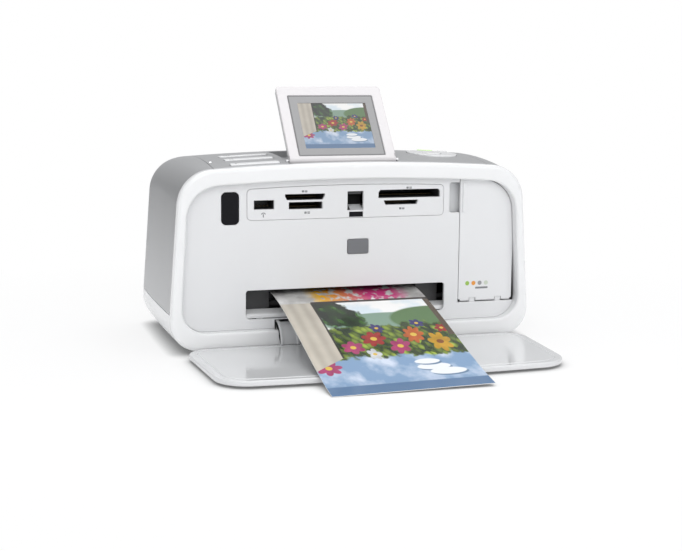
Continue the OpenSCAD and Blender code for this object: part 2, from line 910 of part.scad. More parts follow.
module chassis() {
    leg_z = ground_gap + wall;
    z0 = leg_z + 1.7;
    top = 88;
    side_plate = [[22, z0], [104, z0], [106, 50], [106, 80], [96, top], [20, top], [14, 60], [14, 22]];
    color("lightgray")
        difference() {
            union() {
                for (x = [plate_x0, plate_x1])
                    side_prism(side_plate, x, x + plate_t);
                block([plate_x0, 22, z0], [plate_x1 + plate_t, 104, z0 + plate_t]);
                block([plate_x0, 60.5, 76], [plate_x1, 61.7, top]);
                for (x = [-76, 62], y = [70, 102])
                    translate([x, y, leg_z])
                        cylinder(h = board_z - leg_z, r = 3);
                for (x = [-84, 84])
                    translate([x, 30, leg_z])
                        cylinder(h = 2, r = 4);
            }
            block([-66, 32, 0], [56, 92, board_z]);
            block([plate_x0 - 1, belt_y - 1.5, motor_ledge_z], [plate_x0 + plate_t + 1, far, far]);
            rod_along_x(-far, far, rod_y, rod_z, rod_r);
            rod_along_x(-far, far, feed_y, feed_z, 3 + shaft_run);
            rod_along_x(-far, far, output_y, feed_z, 2 + shaft_run);
            rod_along_x(-far, far, feed_y, sheet_z + print_t + 0.05 + pinch_r, 1 + shaft_run);
            rod_along_x(-far, far, pick_y, pick_z, 2.5 + shaft_run);
            rod_along_x(-far, 0, idler_y, feed_z, 1.5);
        }
}

module exit_chute() {
    profile = [[9.9, 20.8], [12.4, 20.8], [12.4, 22.2], [17.8, 23.8], [17.8, 25.7], [11, 24], [9.9, 23]];
    color("gray") {
        side_prism(profile, plate_x0 + plate_t, 70);
        for (x = [-66, 64])
            block([x, 10.2, ground_gap + wall], [x + 4, 12.2, 21.5]);
    }
}

module input_chute() {
    profile = [[71, 31.2], [74, 31.2], [110.4, 61.8], [110.4, 64.6], [109, 64.6]];
    color("dimgray") {
        side_prism(profile, plate_x0 + plate_t, plate_x1);
        block([54, 100, 57.6], [56, 107, 70]);
    }
}

module platen() {
    color("dimgray")
        difference() {
            block([-62, 32, 14], [62, 53, sheet_z - 1.3]);
            block([-60, 34, 13], [60, 51, sheet_z - 3.4]);
        }
    color("dimgray")
        for (x = [-54:12:54])
            block([x - 0.7, 33, sheet_z - 1.3], [x + 0.7, 52, sheet_z - 0.5]);
}

module service_station() {
    color("gray")
        difference() {
            block([77, 32, 7.6], [109, 54, 33]);
            block([79, 34, 12], [107, 52, 40]);
        }
    color("dimgray") {
        block([84, 36, 12], [90, 50, 35.4]);
        block([96, 40, 12], [97, 50, 35.6]);
    }
}

module carriage_rod() {
    color("silver")
        rod_along_x(plate_x0 - 1, plate_x1 + plate_t + 1, rod_y, rod_z, rod_r);
}

module carriage() {
    x1 = carriage_x0 + carriage_w;
    color("dimgray")
        difference() {
            union() {
                block([carriage_x0, 24, 38], [x1, 58, 74]);
                block([carriage_x0, 57, 56], [x1, 76, 74]);
                block([carriage_x0 + 8, 75, 67.3],
                      [carriage_x0 + 20, belt_y + belt_w + 1, belt_z - pulley_r - 1.6]);
                block([carriage_x0 + 8, 74, 73], [carriage_x0 + 26, 78.2, 95]);
            }
            block([carriage_x0 + 2, 22, 40], [x1 - 2, 56, 80]);
            rod_along_x(-far, far, rod_y, rod_z, rod_r + shaft_run);
            block([0, 76, 84], [far, 77.2, 100]);
            block([carriage_x0 + 8, 30, 30], [x1 - 8, 50, 50]);
        }
}

module ink_cartridge() {
    x0 = carriage_x0 + 2.4;
    x1 = carriage_x0 + carriage_w - 2.4;
    color("black")
        union() {
            block([x0, 25, 40.3], [x1, 55.6, 72]);
            block([x0 + 6, 32, 36.4], [x1 - 6, 48, 40.4]);
            block([x0, 25, 72], [x1, 52, 79]);
            block([x0 + 6, 23, 74], [x1 - 6, 26, 79]);
        }
}

function belt_loop(r, n = 12) = concat(
    arc([pulley_x, belt_z], r, -90, 90, n), arc([-pulley_x, belt_z], r, 90, 270, n));

module drive_belt() {
    color("black")
        difference() {
            front_prism(belt_loop(pulley_r + 1.3), belt_y, belt_y + belt_w);
            front_prism(belt_loop(pulley_r + 0.3), belt_y - 1, belt_y + belt_w + 1);
        }
}

module pulley(x) {
    color("gainsboro")
        difference() {
            union() {
                rod_along_y(belt_y - 0.2, belt_y + belt_w + 0.2, x, belt_z, pulley_r - 0.1);
                for (y = [belt_y - 1.2, belt_y + belt_w + 0.2])
                    rod_along_y(y, y + 1, x, belt_z, pulley_r + 1.8);
            }
            rod_along_y(0, far, x, belt_z, 1.5 + shaft_run);
        }
}

module drive_pulley() { pulley(-pulley_x); }
module idler_pulley() { pulley(pulley_x); }

module carriage_motor() {
    color("silver") {
        rod_along_y(89.5, 109, -pulley_x, belt_z, motor_r);
        rod_along_y(87.5, 89.5, -pulley_x, belt_z, 3.4);
        rod_along_y(belt_y - 2, 88, -pulley_x, belt_z, 1.5);
        block([plate_x0 - bracket_t, 92, motor_ledge_z], [plate_x0 + plate_t, 104, belt_z - 7]);
        rod_along_y(belt_y - 2, 88.5, pulley_x, belt_z, 1.5);
        block([pulley_x - 6, 87.5, 60], [plate_x1, 89, belt_z + 8]);
    }
}

module encoder_strip() {
    color("lightgray")
        block([plate_x0 + plate_t, 76.45, 85.6], [plate_x1, 76.75, 93]);
}

// A gear's outline with plain trapezium teeth; one tooth's middle points at angle phase
function gear_points(teeth, phase) =
    let (r = teeth * gear_m / 2, step = 360 / teeth)
    [for (i = [0:teeth - 1], c = [[-1, -0.31], [0.85, -0.1], [0.85, 0.1], [-1, 0.31]])
        let (a = phase + (i + c[1]) * step, q = r + c[0] * gear_m)
        q * [cos(a), sin(a)]];

module gear_at(y, teeth, phase, bore, x0 = gear_x0, t = gear_t) {
    translate([x0, y, feed_z])
        rotate([90, 0, 90])
            linear_extrude(t)
                difference() {
                    polygon(gear_points(teeth, phase));
                    circle(r = bore);
                }
}

module feed_gear() {
    color("gainsboro")
        difference() {
            gear_at(feed_y, feed_teeth, 0, 3);
            for (a = [0:60:300])
                rod_along_x(gear_x0 - 1, gear_x0 + gear_t + 1, feed_y + 7 * cos(a), feed_z + 7 * sin(a), 1.8);
        }
}

module feed_roller() {
    color("dimgray")
        for (x = [-48:24:48])
            rod_along_x(x - 8, x + 8, feed_y, feed_z, feed_r);
    color("silver")
        rod_along_x(gear_x0, plate_x1 + plate_t + 1, feed_y, feed_z, 3);
}

module feed_pinion() { color("gainsboro") gear_at(pinion_y, pinion_teeth, 18, 1.2); }

module idler_gear() { color("gainsboro") gear_at(idler_y, idler_teeth, 9, 1.5 + run); }

module feed_motor() {
    bracket_x = -108;
    bracket_z = 9;
    color("silver") {
        rod_along_x(-118, gear_x0 - 1.4, pinion_y, feed_z, motor_r);
        rod_along_x(gear_x0 - 1.4, gear_x0 + gear_t, pinion_y, feed_z, 1.2 - run);
        rod_along_x(gear_x0 - 1, plate_x0 + 1, idler_y, feed_z, 1.5);
        block([bracket_x, pinion_y - 3, bracket_z], [bracket_x + 5, pinion_y + 3, feed_z - motor_r + 2]);
        block([bracket_x, pinion_y - 3, bracket_z], [plate_x0, pinion_y + 3, bracket_z + bracket_t]);
    }
}

module pinch_rollers() {
    z = sheet_z + print_t + 0.05 + pinch_r;
    color("gray")
        for (x = [-48:24:48])
            rod_along_x(x - 6, x + 6, feed_y, z, pinch_r);
    color("silver")
        rod_along_x(plate_x0 - 0.6, plate_x1 + plate_t + 0.6, feed_y, z, 1);
}

module output_roller() {
    color("dimgray")
        for (x = [-42:28:42])
            rod_along_x(x - 4, x + 4, output_y, feed_z, output_r);
    color("silver")
        rod_along_x(gear_x0, plate_x1 + plate_t + 1, output_y, feed_z, 2);
    color("gainsboro")
        gear_at(output_y, output_teeth, 0, 1.9);
}

module pick_roller() {
    color("dimgray")
        difference() {
            rod_along_x(-16, 16, pick_y, pick_z, pick_r);
            rod_along_x(-17, 17, pick_y, pick_z, 2);
        }
    color("silver")
        rod_along_x(plate_x0 - 1, plate_x1 + plate_t + 1, pick_y, pick_z, 2.5);
}

// ---------- photo print ----------

module photo_print() {
    last = len(print_curve) - 1;
    color("khaki")
        side_prism(concat(print_curve, [for (i = [last:-1:0]) print_curve[i] + [0, print_t]]),
                   -print_w / 2, print_w / 2);
}

base();
front_frame();
front_panel();
card_panel();
side_cover_left();
side_cover_right();
top_panel();
rear_cover();
input_door();
extender();
width_guide();
output_tray();
tray_latch();
cartridge_door();
hinge_pins();
screen_bezel();
screen_back();
screen_glass();
lcd_panel();
ir_window();
card_sockets();
card_reader_board();
badge_plate();
status_led();
bar_button_front();
bar_button_middle();
bar_button_rear();
nav_ring();
ok_button();
print_button();
cancel_button();
power_button();
control_board();
feet();
case_screws();
power_inlet();
rear_usb_socket();
main_board();
chassis();
exit_chute();
input_chute();
platen();
service_station();
carriage_rod();
carriage();
ink_cartridge();
drive_belt();
drive_pulley();
idler_pulley();
carriage_motor();
encoder_strip();
feed_roller();
feed_gear();
feed_motor();
feed_pinion();
pinch_rollers();
output_roller();
idler_gear();
pick_roller();
photo_print();
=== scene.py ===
# %% [markdown]
# # A compact photo printer, dressed for a studio picture
# The printer's pieces arrive as a fixed model with real sizes, and this notebook gives them
# their finish. The big shells, the tray, the screen, the buttons and the print are made again
# here as smooth, detailed meshes that stand exactly where the plain ones stand. The hidden
# mechanism keeps its plain pieces and only gets materials.

# %% Load the frame
import math

import bmesh
import bpy
from mathutils import Matrix, Vector


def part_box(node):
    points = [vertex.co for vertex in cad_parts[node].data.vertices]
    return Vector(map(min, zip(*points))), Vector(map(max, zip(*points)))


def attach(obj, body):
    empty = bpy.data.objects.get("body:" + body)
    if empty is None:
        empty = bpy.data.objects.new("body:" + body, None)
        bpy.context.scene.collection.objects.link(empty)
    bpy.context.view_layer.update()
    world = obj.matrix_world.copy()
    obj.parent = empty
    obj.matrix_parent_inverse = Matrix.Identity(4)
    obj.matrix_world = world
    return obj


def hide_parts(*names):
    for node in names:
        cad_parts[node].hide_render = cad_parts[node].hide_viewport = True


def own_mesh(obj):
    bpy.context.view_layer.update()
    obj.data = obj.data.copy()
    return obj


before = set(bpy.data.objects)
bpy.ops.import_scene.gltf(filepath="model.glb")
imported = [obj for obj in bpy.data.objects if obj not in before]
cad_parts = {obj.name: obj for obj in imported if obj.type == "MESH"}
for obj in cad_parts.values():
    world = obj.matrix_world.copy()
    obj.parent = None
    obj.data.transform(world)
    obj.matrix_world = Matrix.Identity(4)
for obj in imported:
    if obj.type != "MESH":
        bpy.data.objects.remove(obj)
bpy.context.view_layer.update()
scene = bpy.context.scene

# %% [markdown]
# ## Sizes
# All shapes are written in millimetres, because the pieces are small, and turned into metres at
# the moment a mesh is made. The overall sizes are read from the frame, so the dressed pieces can't
# drift away from the pieces that they stand for. The rest are the printer's own fixed details.

# %% Sizes read from the frame
MM = 0.001
PHOTO_W = 682


def box_mm(node):
    """Lowest and highest corner of a frame piece, in millimetres"""
    low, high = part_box(node)
    return Vector(low) / MM, Vector(high) / MM


ring_low, ring_high = box_mm("front_frame")
rear_high = box_mm("rear_cover")[1]
tray_low, tray_high = box_mm("output_tray")
half_w = ring_high.x
face_h = ring_high.z
body_d = rear_high.y
ground_gap = ring_low.z
print(f"body {2 * half_w:.1f} wide, {face_h:.1f} high in front, {body_d:.1f} deep")
print(f"tray {tray_high.x - tray_low.x:.1f} wide, {tray_high.y - tray_low.y:.1f} deep")

# %% The printer's own details, in millimetres
WALL = 2.4
SEAM = 0.3
FRAME_D = 7.0
CROWN_RISE = 3.2
CROWN_Y = 58.0
ARCH_R = 1500.0
TOP_CORNER_R, BOTTOM_CORNER_R, SHOULDER_IN = 24.0, 19.0, 29.5
REAR_R = 8.0
BASE_SEAM_Z = 26.0
RECESS_D, RECESS_W, RECESS_TOP, RECESS_Z = 7.0, 234.6, 112.8, 14.0
RECESS_LOW_R, RECESS_HIGH_R, RECESS_SHOULDER = 16, 22, 25.3
PANEL_BACK = 9.4
TRAY_T, TRAY_TOP_Z = 3.5, 5.0
ARM_X, ARM_W = 47.0, 13.0
TRAY_AXIS = (7.25, 6.25)
SCREEN_AXIS = Vector((-6.2, 14.5, 124.1))
SCREEN_W, SCREEN_L, SCREEN_T, SCREEN_TILT = 73.8, 63.0, 5.5, 50.0
CROWN_TOP = face_h + CROWN_RISE
CROWN_R = (CROWN_Y - FRAME_D) ** 2 / (2 * CROWN_RISE)
REAR_Y = body_d - REAR_R

# %% [markdown]
# ## The camera
# The camera stands to the front left of the printer, a little above it, with a long lens. Its
# place was found by fitting the printer's known edges to the photograph, so it is written as
# the point that it looks at, two angles, a roll and a distance.

# %% Camera
LOOK_AT = Vector((-11.04, 0, 48.89))
CAMERA_AZIMUTH, CAMERA_ELEVATION, CAMERA_ROLL = -16.98, 9.47, 0.51
CAMERA_DISTANCE = 912.95
FOCAL_PX = 1376.65
SENSOR_W = 36


def camera_matrix():
    azimuth, elevation = math.radians(CAMERA_AZIMUTH), math.radians(CAMERA_ELEVATION)
    back = Vector((math.sin(azimuth) * math.cos(elevation),
                   -math.cos(azimuth) * math.cos(elevation), math.sin(elevation)))
    right = (-back).cross(Vector((0, 0, 1))).normalized()
    turn = Matrix.Rotation(-math.radians(CAMERA_ROLL), 3, -back)
    right = turn @ right
    up = back.cross(right)
    place = (LOOK_AT + back * CAMERA_DISTANCE) * MM
    matrix = Matrix((right, up, back)).transposed().to_4x4()
    matrix.translation = place
    return matrix


camera = bpy.data.objects.new("studio_camera", bpy.data.cameras.new("studio_camera"))
scene.collection.objects.link(camera)
camera.data.sensor_width = SENSOR_W
camera.data.lens = FOCAL_PX / PHOTO_W * SENSOR_W
camera.data.clip_start, camera.data.clip_end = 0.01, 20
camera.matrix_world = camera_matrix()
scene.camera = camera
print(f"lens {camera.data.lens:.1f} mm, {CAMERA_DISTANCE / 1000:.2f} m away")

# %% [markdown]
# ## Node helpers
# Materials and Geometry Nodes trees are both graphs. These small helpers add a node, set its
# values and plug links into its inputs in one line, so that each finish stays short to read.

# %% Node helpers
def add_node(tree, kind, outputs=0, **inputs):
    """Adds a node, sets its inputs and returns one output"""
    return fill_node(tree, tree.nodes.new(kind), outputs, **inputs)


def fill_node(tree, node, outputs=0, **inputs):
    """Sets or links inputs: i0 is the first one, Base_Color is the one called Base Color"""
    for key, value in inputs.items():
        socket = node.inputs[int(key[1:])] if key[1:].isdigit() else node.inputs[key.replace("_", " ")]
        if isinstance(value, bpy.types.NodeSocket):
            tree.links.new(value, socket)
        else:
            socket.default_value = value
    return node.outputs[outputs] if node.outputs else node


# %% Arithmetic nodes
def maths(tree, operation, a, b=0.0, clamp=False):
    node = tree.nodes.new("ShaderNodeMath")
    node.operation = operation
    node.use_clamp = clamp
    return fill_node(tree, node, 0, i0=a, i1=b)


def times(tree, a, b):
    return maths(tree, "MULTIPLY", a, b)


def plus(tree, a, b):
    return maths(tree, "ADD", a, b)


def minus(tree, a, b):
    return maths(tree, "SUBTRACT", a, b)


def beyond(tree, a, b):
    """1 where a is greater than b, else 0"""
    return maths(tree, "GREATER_THAN", a, b)


def vector_maths(tree, operation, output, **inputs):
    node = tree.nodes.new("ShaderNodeVectorMath")
    node.operation = operation
    return fill_node(tree, node, output, **inputs)


def split(tree, vector):
    """The x, y and z of a vector"""
    node = tree.nodes.new("ShaderNodeSeparateXYZ")
    tree.links.new(vector, node.inputs[0])
    return node.outputs


# %% Pattern nodes
def blend_colours(tree, amount, first, second):
    node = tree.nodes.new("ShaderNodeMix")
    node.data_type = "RGBA"
    return fill_node(tree, node, 2, i0=amount, i6=first, i7=second)


def ramp(tree, value, low, high, to_low=0.0, to_high=1.0):
    return add_node(tree, "ShaderNodeMapRange", i0=value, i1=low, i2=high, i3=to_low, i4=to_high)


def object_place(tree):
    return add_node(tree, "ShaderNodeTexCoord", outputs=3)


def noise(tree, place, scale, detail):
    return add_node(tree, "ShaderNodeTexNoise", Vector=place, Scale=scale, Detail=detail)


def bumped(tree, height, strength, depth):
    """A surface direction tipped by a height pattern, whose depth is in millimetres"""
    return add_node(tree, "ShaderNodeBump", Strength=strength, Height=height, Distance=MM * depth)


# %% [markdown]
# ## Moulded plastics
# Nearly every visible surface is injection-moulded plastic. Real mouldings aren't one flat
# colour: the gloss wanders a little, the tone drifts over centimetres, and matt parts carry a
# fine spark-eroded grain from the steel mould. One function makes them all from a base colour,
# a gloss, a grain height and a grain size, all on object coordinates so that nothing slides.

# %% Plastic
GRAIN_DENSE = 2600.0
DRIFT_SCALE = 14.0
GLOSS_DRIFT = 0.05
COAT_BLUR = 0.08
GRAIN_DEPTH = 0.05


def rgba(colour):
    return (*colour, 1.0)


def shaded(colour, factor):
    return rgba([min(1.0, c * factor) for c in colour])


def new_material(name):
    material = bpy.data.materials.new(name)
    material.use_nodes = True
    tree = material.node_tree
    return material, tree, tree.nodes["Principled BSDF"]


def plastic(name, colour, roughness=0.35, grain=0.0, drift=0.02, coat=0.0, metallic=0.0,
            grain_scale=GRAIN_DENSE, specular=0.5):
    material, tree, shader = new_material(name)
    place = object_place(tree)
    cloud = noise(tree, place, DRIFT_SCALE, 3.0)
    tone = blend_colours(tree, cloud, shaded(colour, 1 - drift), shaded(colour, 1 + drift))
    gloss = ramp(tree, cloud, 0.35, 0.65, roughness - GLOSS_DRIFT / 2, roughness + GLOSS_DRIFT / 2)
    fill_node(tree, shader, Base_Color=tone, Roughness=gloss, Metallic=metallic,
              Specular_IOR_Level=specular, Coat_Weight=coat, Coat_Roughness=COAT_BLUR)
    if grain:
        fine = noise(tree, place, grain_scale, 2.0)
        fill_node(tree, shader, Normal=bumped(tree, fine, grain, GRAIN_DEPTH))
    return material


# %% [markdown]
# ## The finishes of this printer
# The ring around the front, the base, the tray and the screen's bezel are glossy white. The
# sides and the top are a satin silver paint: a light metallic flake under a soft lacquer. The
# wall of the recess and the doors are a very pale grey with a fine matt grain.

# %% Shell finishes
white_gloss = plastic("white_gloss", (0.82, 0.825, 0.83), 0.22, grain=0.03, coat=0.35)
bezel_white = plastic("bezel_white", (0.70, 0.68, 0.69), 0.25, grain=0.02, coat=0.3)
tray_gloss = plastic("tray_gloss", (0.665, 0.672, 0.68), 0.14, grain=0.02, coat=0.6)
recess_matt = plastic("recess_matt", (0.745, 0.75, 0.76), 0.42, grain=0.16)
door_matt = plastic("door_matt", (0.76, 0.765, 0.775), 0.40, grain=0.16)
rear_matt = plastic("rear_matt", (0.66, 0.67, 0.68), 0.5, grain=0.25)
latch_grey = plastic("latch_grey", (0.05, 0.05, 0.053), 0.5, grain=0.25)
slot_black = plastic("slot_black", (0.045, 0.045, 0.047), 0.45, grain=0.3)
# Painted shade: a near-black with little gloss, for the shade deep in a hollow
hole_black = plastic("hole_black", (0.006, 0.006, 0.006), 0.7, specular=0.1)
dark_inside = plastic("dark_inside", (0.075, 0.076, 0.08), 0.55, grain=0.3)
window_black = plastic("window_black", (0.006, 0.006, 0.008), 0.2, drift=0.1, specular=0.12)
button_white = plastic("button_white", (0.86, 0.865, 0.87), 0.2, grain=0.02, coat=0.4)
nylon = plastic("nylon", (0.70, 0.69, 0.64), 0.45, grain=0.1)
lip_grey = plastic("lip_grey", (0.62, 0.63, 0.64), 0.4, grain=0.2)
chute_grey = plastic("chute_grey", (0.78, 0.785, 0.79), 0.4, grain=0.2)
guide_black = plastic("guide_black", (0.045, 0.045, 0.047), 0.5, grain=0.3)
mark_grey = plastic("mark_grey", (0.21, 0.215, 0.225), 0.5)
badge_grey = plastic("badge_grey", (0.165, 0.168, 0.178), 0.3, metallic=0.5, grain=0.1)


# %% Satin silver lacquer
# Painted light: factors on the paint's colour by height, a painted reflection of the floor low on the
# flanks, painted shade high on them and a painted sheen on the top
FLANK_PAINTED_LIGHT, TOP_PAINTED_LIGHT = (1.22, 0.80), 1.14
FLANK_PAINTED_LIGHT_HEIGHTS, TOP_PAINTED_LIGHT_HEIGHTS = (30 * MM, 105 * MM), (108 * MM, 121 * MM)
FLAKE_SCALE, FLAKE_DEPTH = 5200.0, 0.02


def silver_lacquer(name, colour):
    """Paint with a fine metallic flake: the flakes tip the light a little and vary in tone. The
    flanks carry a painted reflection of the floor towards the foot and painted shade higher up, and the top
    a painted sheen."""
    material, tree, shader = new_material(name)
    place = object_place(tree)
    speck = add_node(tree, "ShaderNodeTexVoronoi", Vector=place, Scale=FLAKE_SCALE)
    cloud = noise(tree, place, 9.0, 2.0)
    tone = blend_colours(tree, ramp(tree, speck, 0.1, 0.7), shaded(colour, 1.06), shaded(colour, 0.94))
    tone = blend_colours(tree, ramp(tree, cloud, 0.4, 0.6, 0.0, 0.25), tone, shaded(colour, 1.04))
    # Painted light by height: the flanks' painted reflection and shade, blended into the top's painted sheen
    height = split(tree, place)[2]
    flank_painted_light = ramp(tree, height, *FLANK_PAINTED_LIGHT_HEIGHTS, *FLANK_PAINTED_LIGHT)
    top_light_share = ramp(tree, height, *TOP_PAINTED_LIGHT_HEIGHTS)
    lift = plus(tree, flank_painted_light, times(tree, top_light_share, minus(tree, TOP_PAINTED_LIGHT, flank_painted_light)))
    fill_node(tree, shader, Base_Color=vector_maths(tree, "SCALE", 0, i0=tone, Scale=lift),
              Roughness=ramp(tree, cloud, 0.3, 0.7, 0.34, 0.40), Metallic=0.55,
              Normal=bumped(tree, speck, 0.25, FLAKE_DEPTH))
    return material


silver = silver_lacquer("silver_lacquer", (0.41, 0.413, 0.418))

# %% [markdown]
# ## Metals, rubber, boards and lit parts
# Behind the slot and the doors the mechanism shows: zinc-plated sheet, ground shafts, rubber
# rollers and green boards. Brushed and rolled metals get long thin scratches by stretching the
# noise along one axis. The board has a net of copper tracks drawn by a brick pattern.

# %% Metal and rubber
def metal(name, colour, roughness, stretch=(1, 1, 1), scratch_scale=900.0):
    material, tree, shader = new_material(name)
    stretched = add_node(tree, "ShaderNodeMapping", Vector=object_place(tree), Scale=stretch)
    lines = noise(tree, stretched, scratch_scale, 3.0)
    fill_node(tree, shader, Metallic=1.0,
              Base_Color=blend_colours(tree, lines, shaded(colour, 0.9), shaded(colour, 1.06)),
              Roughness=ramp(tree, lines, 0.3, 0.7, roughness - 0.07, roughness + 0.07))
    return material


zinc_sheet = metal("zinc_sheet", (0.60, 0.61, 0.62), 0.38, (1, 1, 0.2))
ground_steel = metal("ground_steel", (0.66, 0.66, 0.67), 0.2, (1, 0.05, 0.05), 2400.0)
gold_pin = metal("gold_pin", (0.075, 0.055, 0.03), 0.45)
roller_rubber = plastic("roller_rubber", (0.03, 0.03, 0.032), 0.75, grain=0.8, grain_scale=1500.0)
foot_rubber = plastic("foot_rubber", (0.04, 0.04, 0.042), 0.8, grain=0.6, grain_scale=1200.0)
film = plastic("encoder_film", (0.16, 0.17, 0.18), 0.15)


# %% Circuit board
def circuit_board(name):
    material, tree, shader = new_material(name)
    place = object_place(tree)
    tracks = tree.nodes.new("ShaderNodeTexBrick")
    tracks.offset = 0.37
    pattern = fill_node(tree, tracks, 1, Vector=place, Scale=420.0, Mortar_Size=0.025)
    masked = times(tree, pattern, ramp(tree, noise(tree, place, 160.0, 4.0), 0.45, 0.55))
    tone = blend_colours(tree, masked, (0.010, 0.085, 0.035, 1), (0.05, 0.22, 0.09, 1))
    fill_node(tree, shader, Base_Color=tone, Roughness=0.3)
    return material


board_green = circuit_board("board_green")


# %% Lit caps
def lit_cap(name, colour, strength):
    """A translucent cap with a lamp under it: a soft and slightly cloudy glow"""
    material, tree, shader = new_material(name)
    cloud = noise(tree, object_place(tree), 120.0, 1.0)
    fill_node(tree, shader, Emission_Color=rgba(colour), Emission_Strength=strength, Roughness=0.25,
              Base_Color=blend_colours(tree, cloud, shaded(colour, 0.92), shaded(colour, 1.05)))
    return material


green_light = lit_cap("green_light", (0.55, 0.83, 0.30), 0.35)
white_light = lit_cap("white_light", (0.95, 0.97, 1.0), 0.6)

# %% [markdown]
# ## Outlines
# Seen from the front, the body is an arch: one very wide arc over the top, sides that lean
# inwards, and four rounded corners. The same function, with other numbers, draws the recess in
# the front and the tray that closes it. It always gives the same count of points, so two
# outlines can be joined point by point into a band.

# %% Outline of an arch
BOTTOM_STEPS, CORNER_STEPS, TOP_STEPS = 16, 20, 12


def arc(centre, radius, start, end, steps):
    angles = [math.radians(start + (end - start) * i / steps) for i in range(steps + 1)]
    return [(centre[0] + radius * math.cos(a), centre[1] + radius * math.sin(a)) for a in angles]


def quarter(steps, first=0):
    """1 - cosine and sine of the angles from 0 to 90 degrees, for rounded edges"""
    angles = [math.pi / 2 * i / steps for i in range(first, steps + 1)]
    return [(1 - math.cos(a), math.sin(a)) for a in angles]


def arched_outline(half, top, bottom, bottom_r, top_r, shoulder, inset):
    """Points (x, z) of the whole outline, anticlockwise as seen from the front"""
    low = (half - bottom_r, bottom + bottom_r)
    arch_z = top - ARCH_R
    corner_x = half - shoulder
    high = (corner_x, arch_z + math.sqrt((ARCH_R - top_r) ** 2 - corner_x ** 2))
    reach = Vector((high[0] - low[0], high[1] - low[1]))
    lean = math.degrees(math.atan2(reach.y, reach.x)
                        - math.acos((bottom_r - top_r) / reach.length))
    meet = math.degrees(math.atan2(high[1] - arch_z, corner_x))
    right = (arc(low, bottom_r - inset, -90, lean, BOTTOM_STEPS)
             + arc(high, top_r - inset, lean, meet, CORNER_STEPS)
             + arc((0, arch_z), ARCH_R - inset, meet, 90, TOP_STEPS)[1:])
    return right + [(-x, z) for x, z in right[-2::-1]]


def recess_outline(inset, bottom=RECESS_Z):
    return arched_outline(RECESS_W / 2, RECESS_TOP, bottom, RECESS_LOW_R, RECESS_HIGH_R,
                          RECESS_SHOULDER, inset)


def crown(y):
    """Height of the top at its middle"""
    return CROWN_TOP - (y - CROWN_Y) ** 2 / (2 * CROWN_R)


def body_outline(y, inset):
    swell = 1 - ((y - (FRAME_D + body_d) / 2) / ((body_d - FRAME_D) / 2)) ** 2
    return arched_outline(half_w + swell, crown(y), ground_gap, BOTTOM_CORNER_R, TOP_CORNER_R,
                          SHOULDER_IN, inset)


def surface_z(x, y):
    """Height of the top's outer surface at x, y"""
    return crown(y) - ARCH_R + math.sqrt(ARCH_R ** 2 - x * x)


# %% [markdown]
# ## Building solids
# Every shell is cut from a few simple closed solids: lofts through rings, prisms, boxes and
# round bars. Cutting (a Boolean) gives the true shape of a moulding with its windows. The cut
# edges are then rounded by a Bevel modifier, and Weighted Normal keeps the big faces calm, so
# that they mirror the studio without dents.

# %% Solids in millimetres
def mesh_object(name, points, faces):
    mesh = bpy.data.meshes.new(name)
    mesh.from_pydata([Vector(p) * MM for p in points], [], faces)
    shape = bmesh.new()
    shape.from_mesh(mesh)
    bmesh.ops.remove_doubles(shape, verts=shape.verts, dist=MM * 0.001)
    bmesh.ops.recalc_face_normals(shape, faces=shape.faces)
    shape.to_mesh(mesh)
    shape.free()
    piece = bpy.data.objects.new(name, mesh)
    scene.collection.objects.link(piece)
    return piece


def loft(name, rings, closed=False):
    """A solid through rings of equally many points; closed joins the last ring to the first"""
    count = len(rings[0])
    points = [p for ring in rings for p in ring]
    spans = len(rings) if closed else len(rings) - 1
    faces = []
    for k in range(spans):
        here, there = k * count, (k + 1) % len(rings) * count
        for i in range(count):
            j = (i + 1) % count
            faces.append((here + i, here + j, there + j, there + i))
    if not closed:
        faces.append(tuple(range(count))[::-1])
        faces.append(tuple(range((len(rings) - 1) * count, len(rings) * count)))
    return mesh_object(name, points, faces)


def at_y(outline, y):
    return [(x, y, z) for x, z in outline]


def prism_y(name, outline, y0, y1):
    return loft(name, [at_y(outline, y0), at_y(outline, y1)])


def prism_x(name, profile, x0, x1):
    return loft(name, [[(x, y, z) for y, z in profile] for x in (x0, x1)])


def block(low, high, name="block"):
    corners = [(low[0], low[1]), (high[0], low[1]), (high[0], high[1]), (low[0], high[1])]
    return loft(name, [[(x, y, z) for x, y in corners] for z in (low[2], high[2])])


def rod(start, end, radius, name="rod", steps=64):
    axis = Vector(end) - Vector(start)
    side = axis.orthogonal().normalized()
    other = axis.cross(side).normalized()
    turns = [2 * math.pi * i / steps for i in range(steps)]
    rings = [[Vector(p) + radius * (side * math.cos(t) + other * math.sin(t)) for t in turns]
             for p in (start, end)]
    return loft(name, rings)


def rounded(x0, z0, x1, z1, r, steps=8, upper_r=None):
    """A rectangle with round corners; the upper ones may have a radius of their own"""
    top_r = r if upper_r is None else upper_r
    return (arc((x1 - r, z0 + r), r, -90, 0, steps) + arc((x1 - top_r, z1 - top_r), top_r, 0, 90, steps)
            + arc((x0 + top_r, z1 - top_r), top_r, 90, 180, steps)
            + arc((x0 + r, z0 + r), r, 180, 270, steps))


def grown(box, by):
    """A rectangle (x0, z0, x1, z1), larger by a margin all round"""
    x0, z0, x1, z1 = box
    return x0 - by, z0 - by, x1 + by, z1 + by


def upright(name, box, y0, y1):
    """A block that fills a rectangle (x0, z0, x1, z1) of the front between two depths"""
    x0, z0, x1, z1 = box
    return block((x0, y0, z0), (x1, y1, z1), name)


# %% Cutting, joining and rounding
def bake(piece):
    """Replaces the piece's mesh by the result of its modifiers"""
    evaluated = piece.evaluated_get(bpy.context.evaluated_depsgraph_get())
    mesh = bpy.data.meshes.new_from_object(evaluated)
    piece.modifiers.clear()
    piece.data = mesh
    mesh.name = piece.name
    return piece


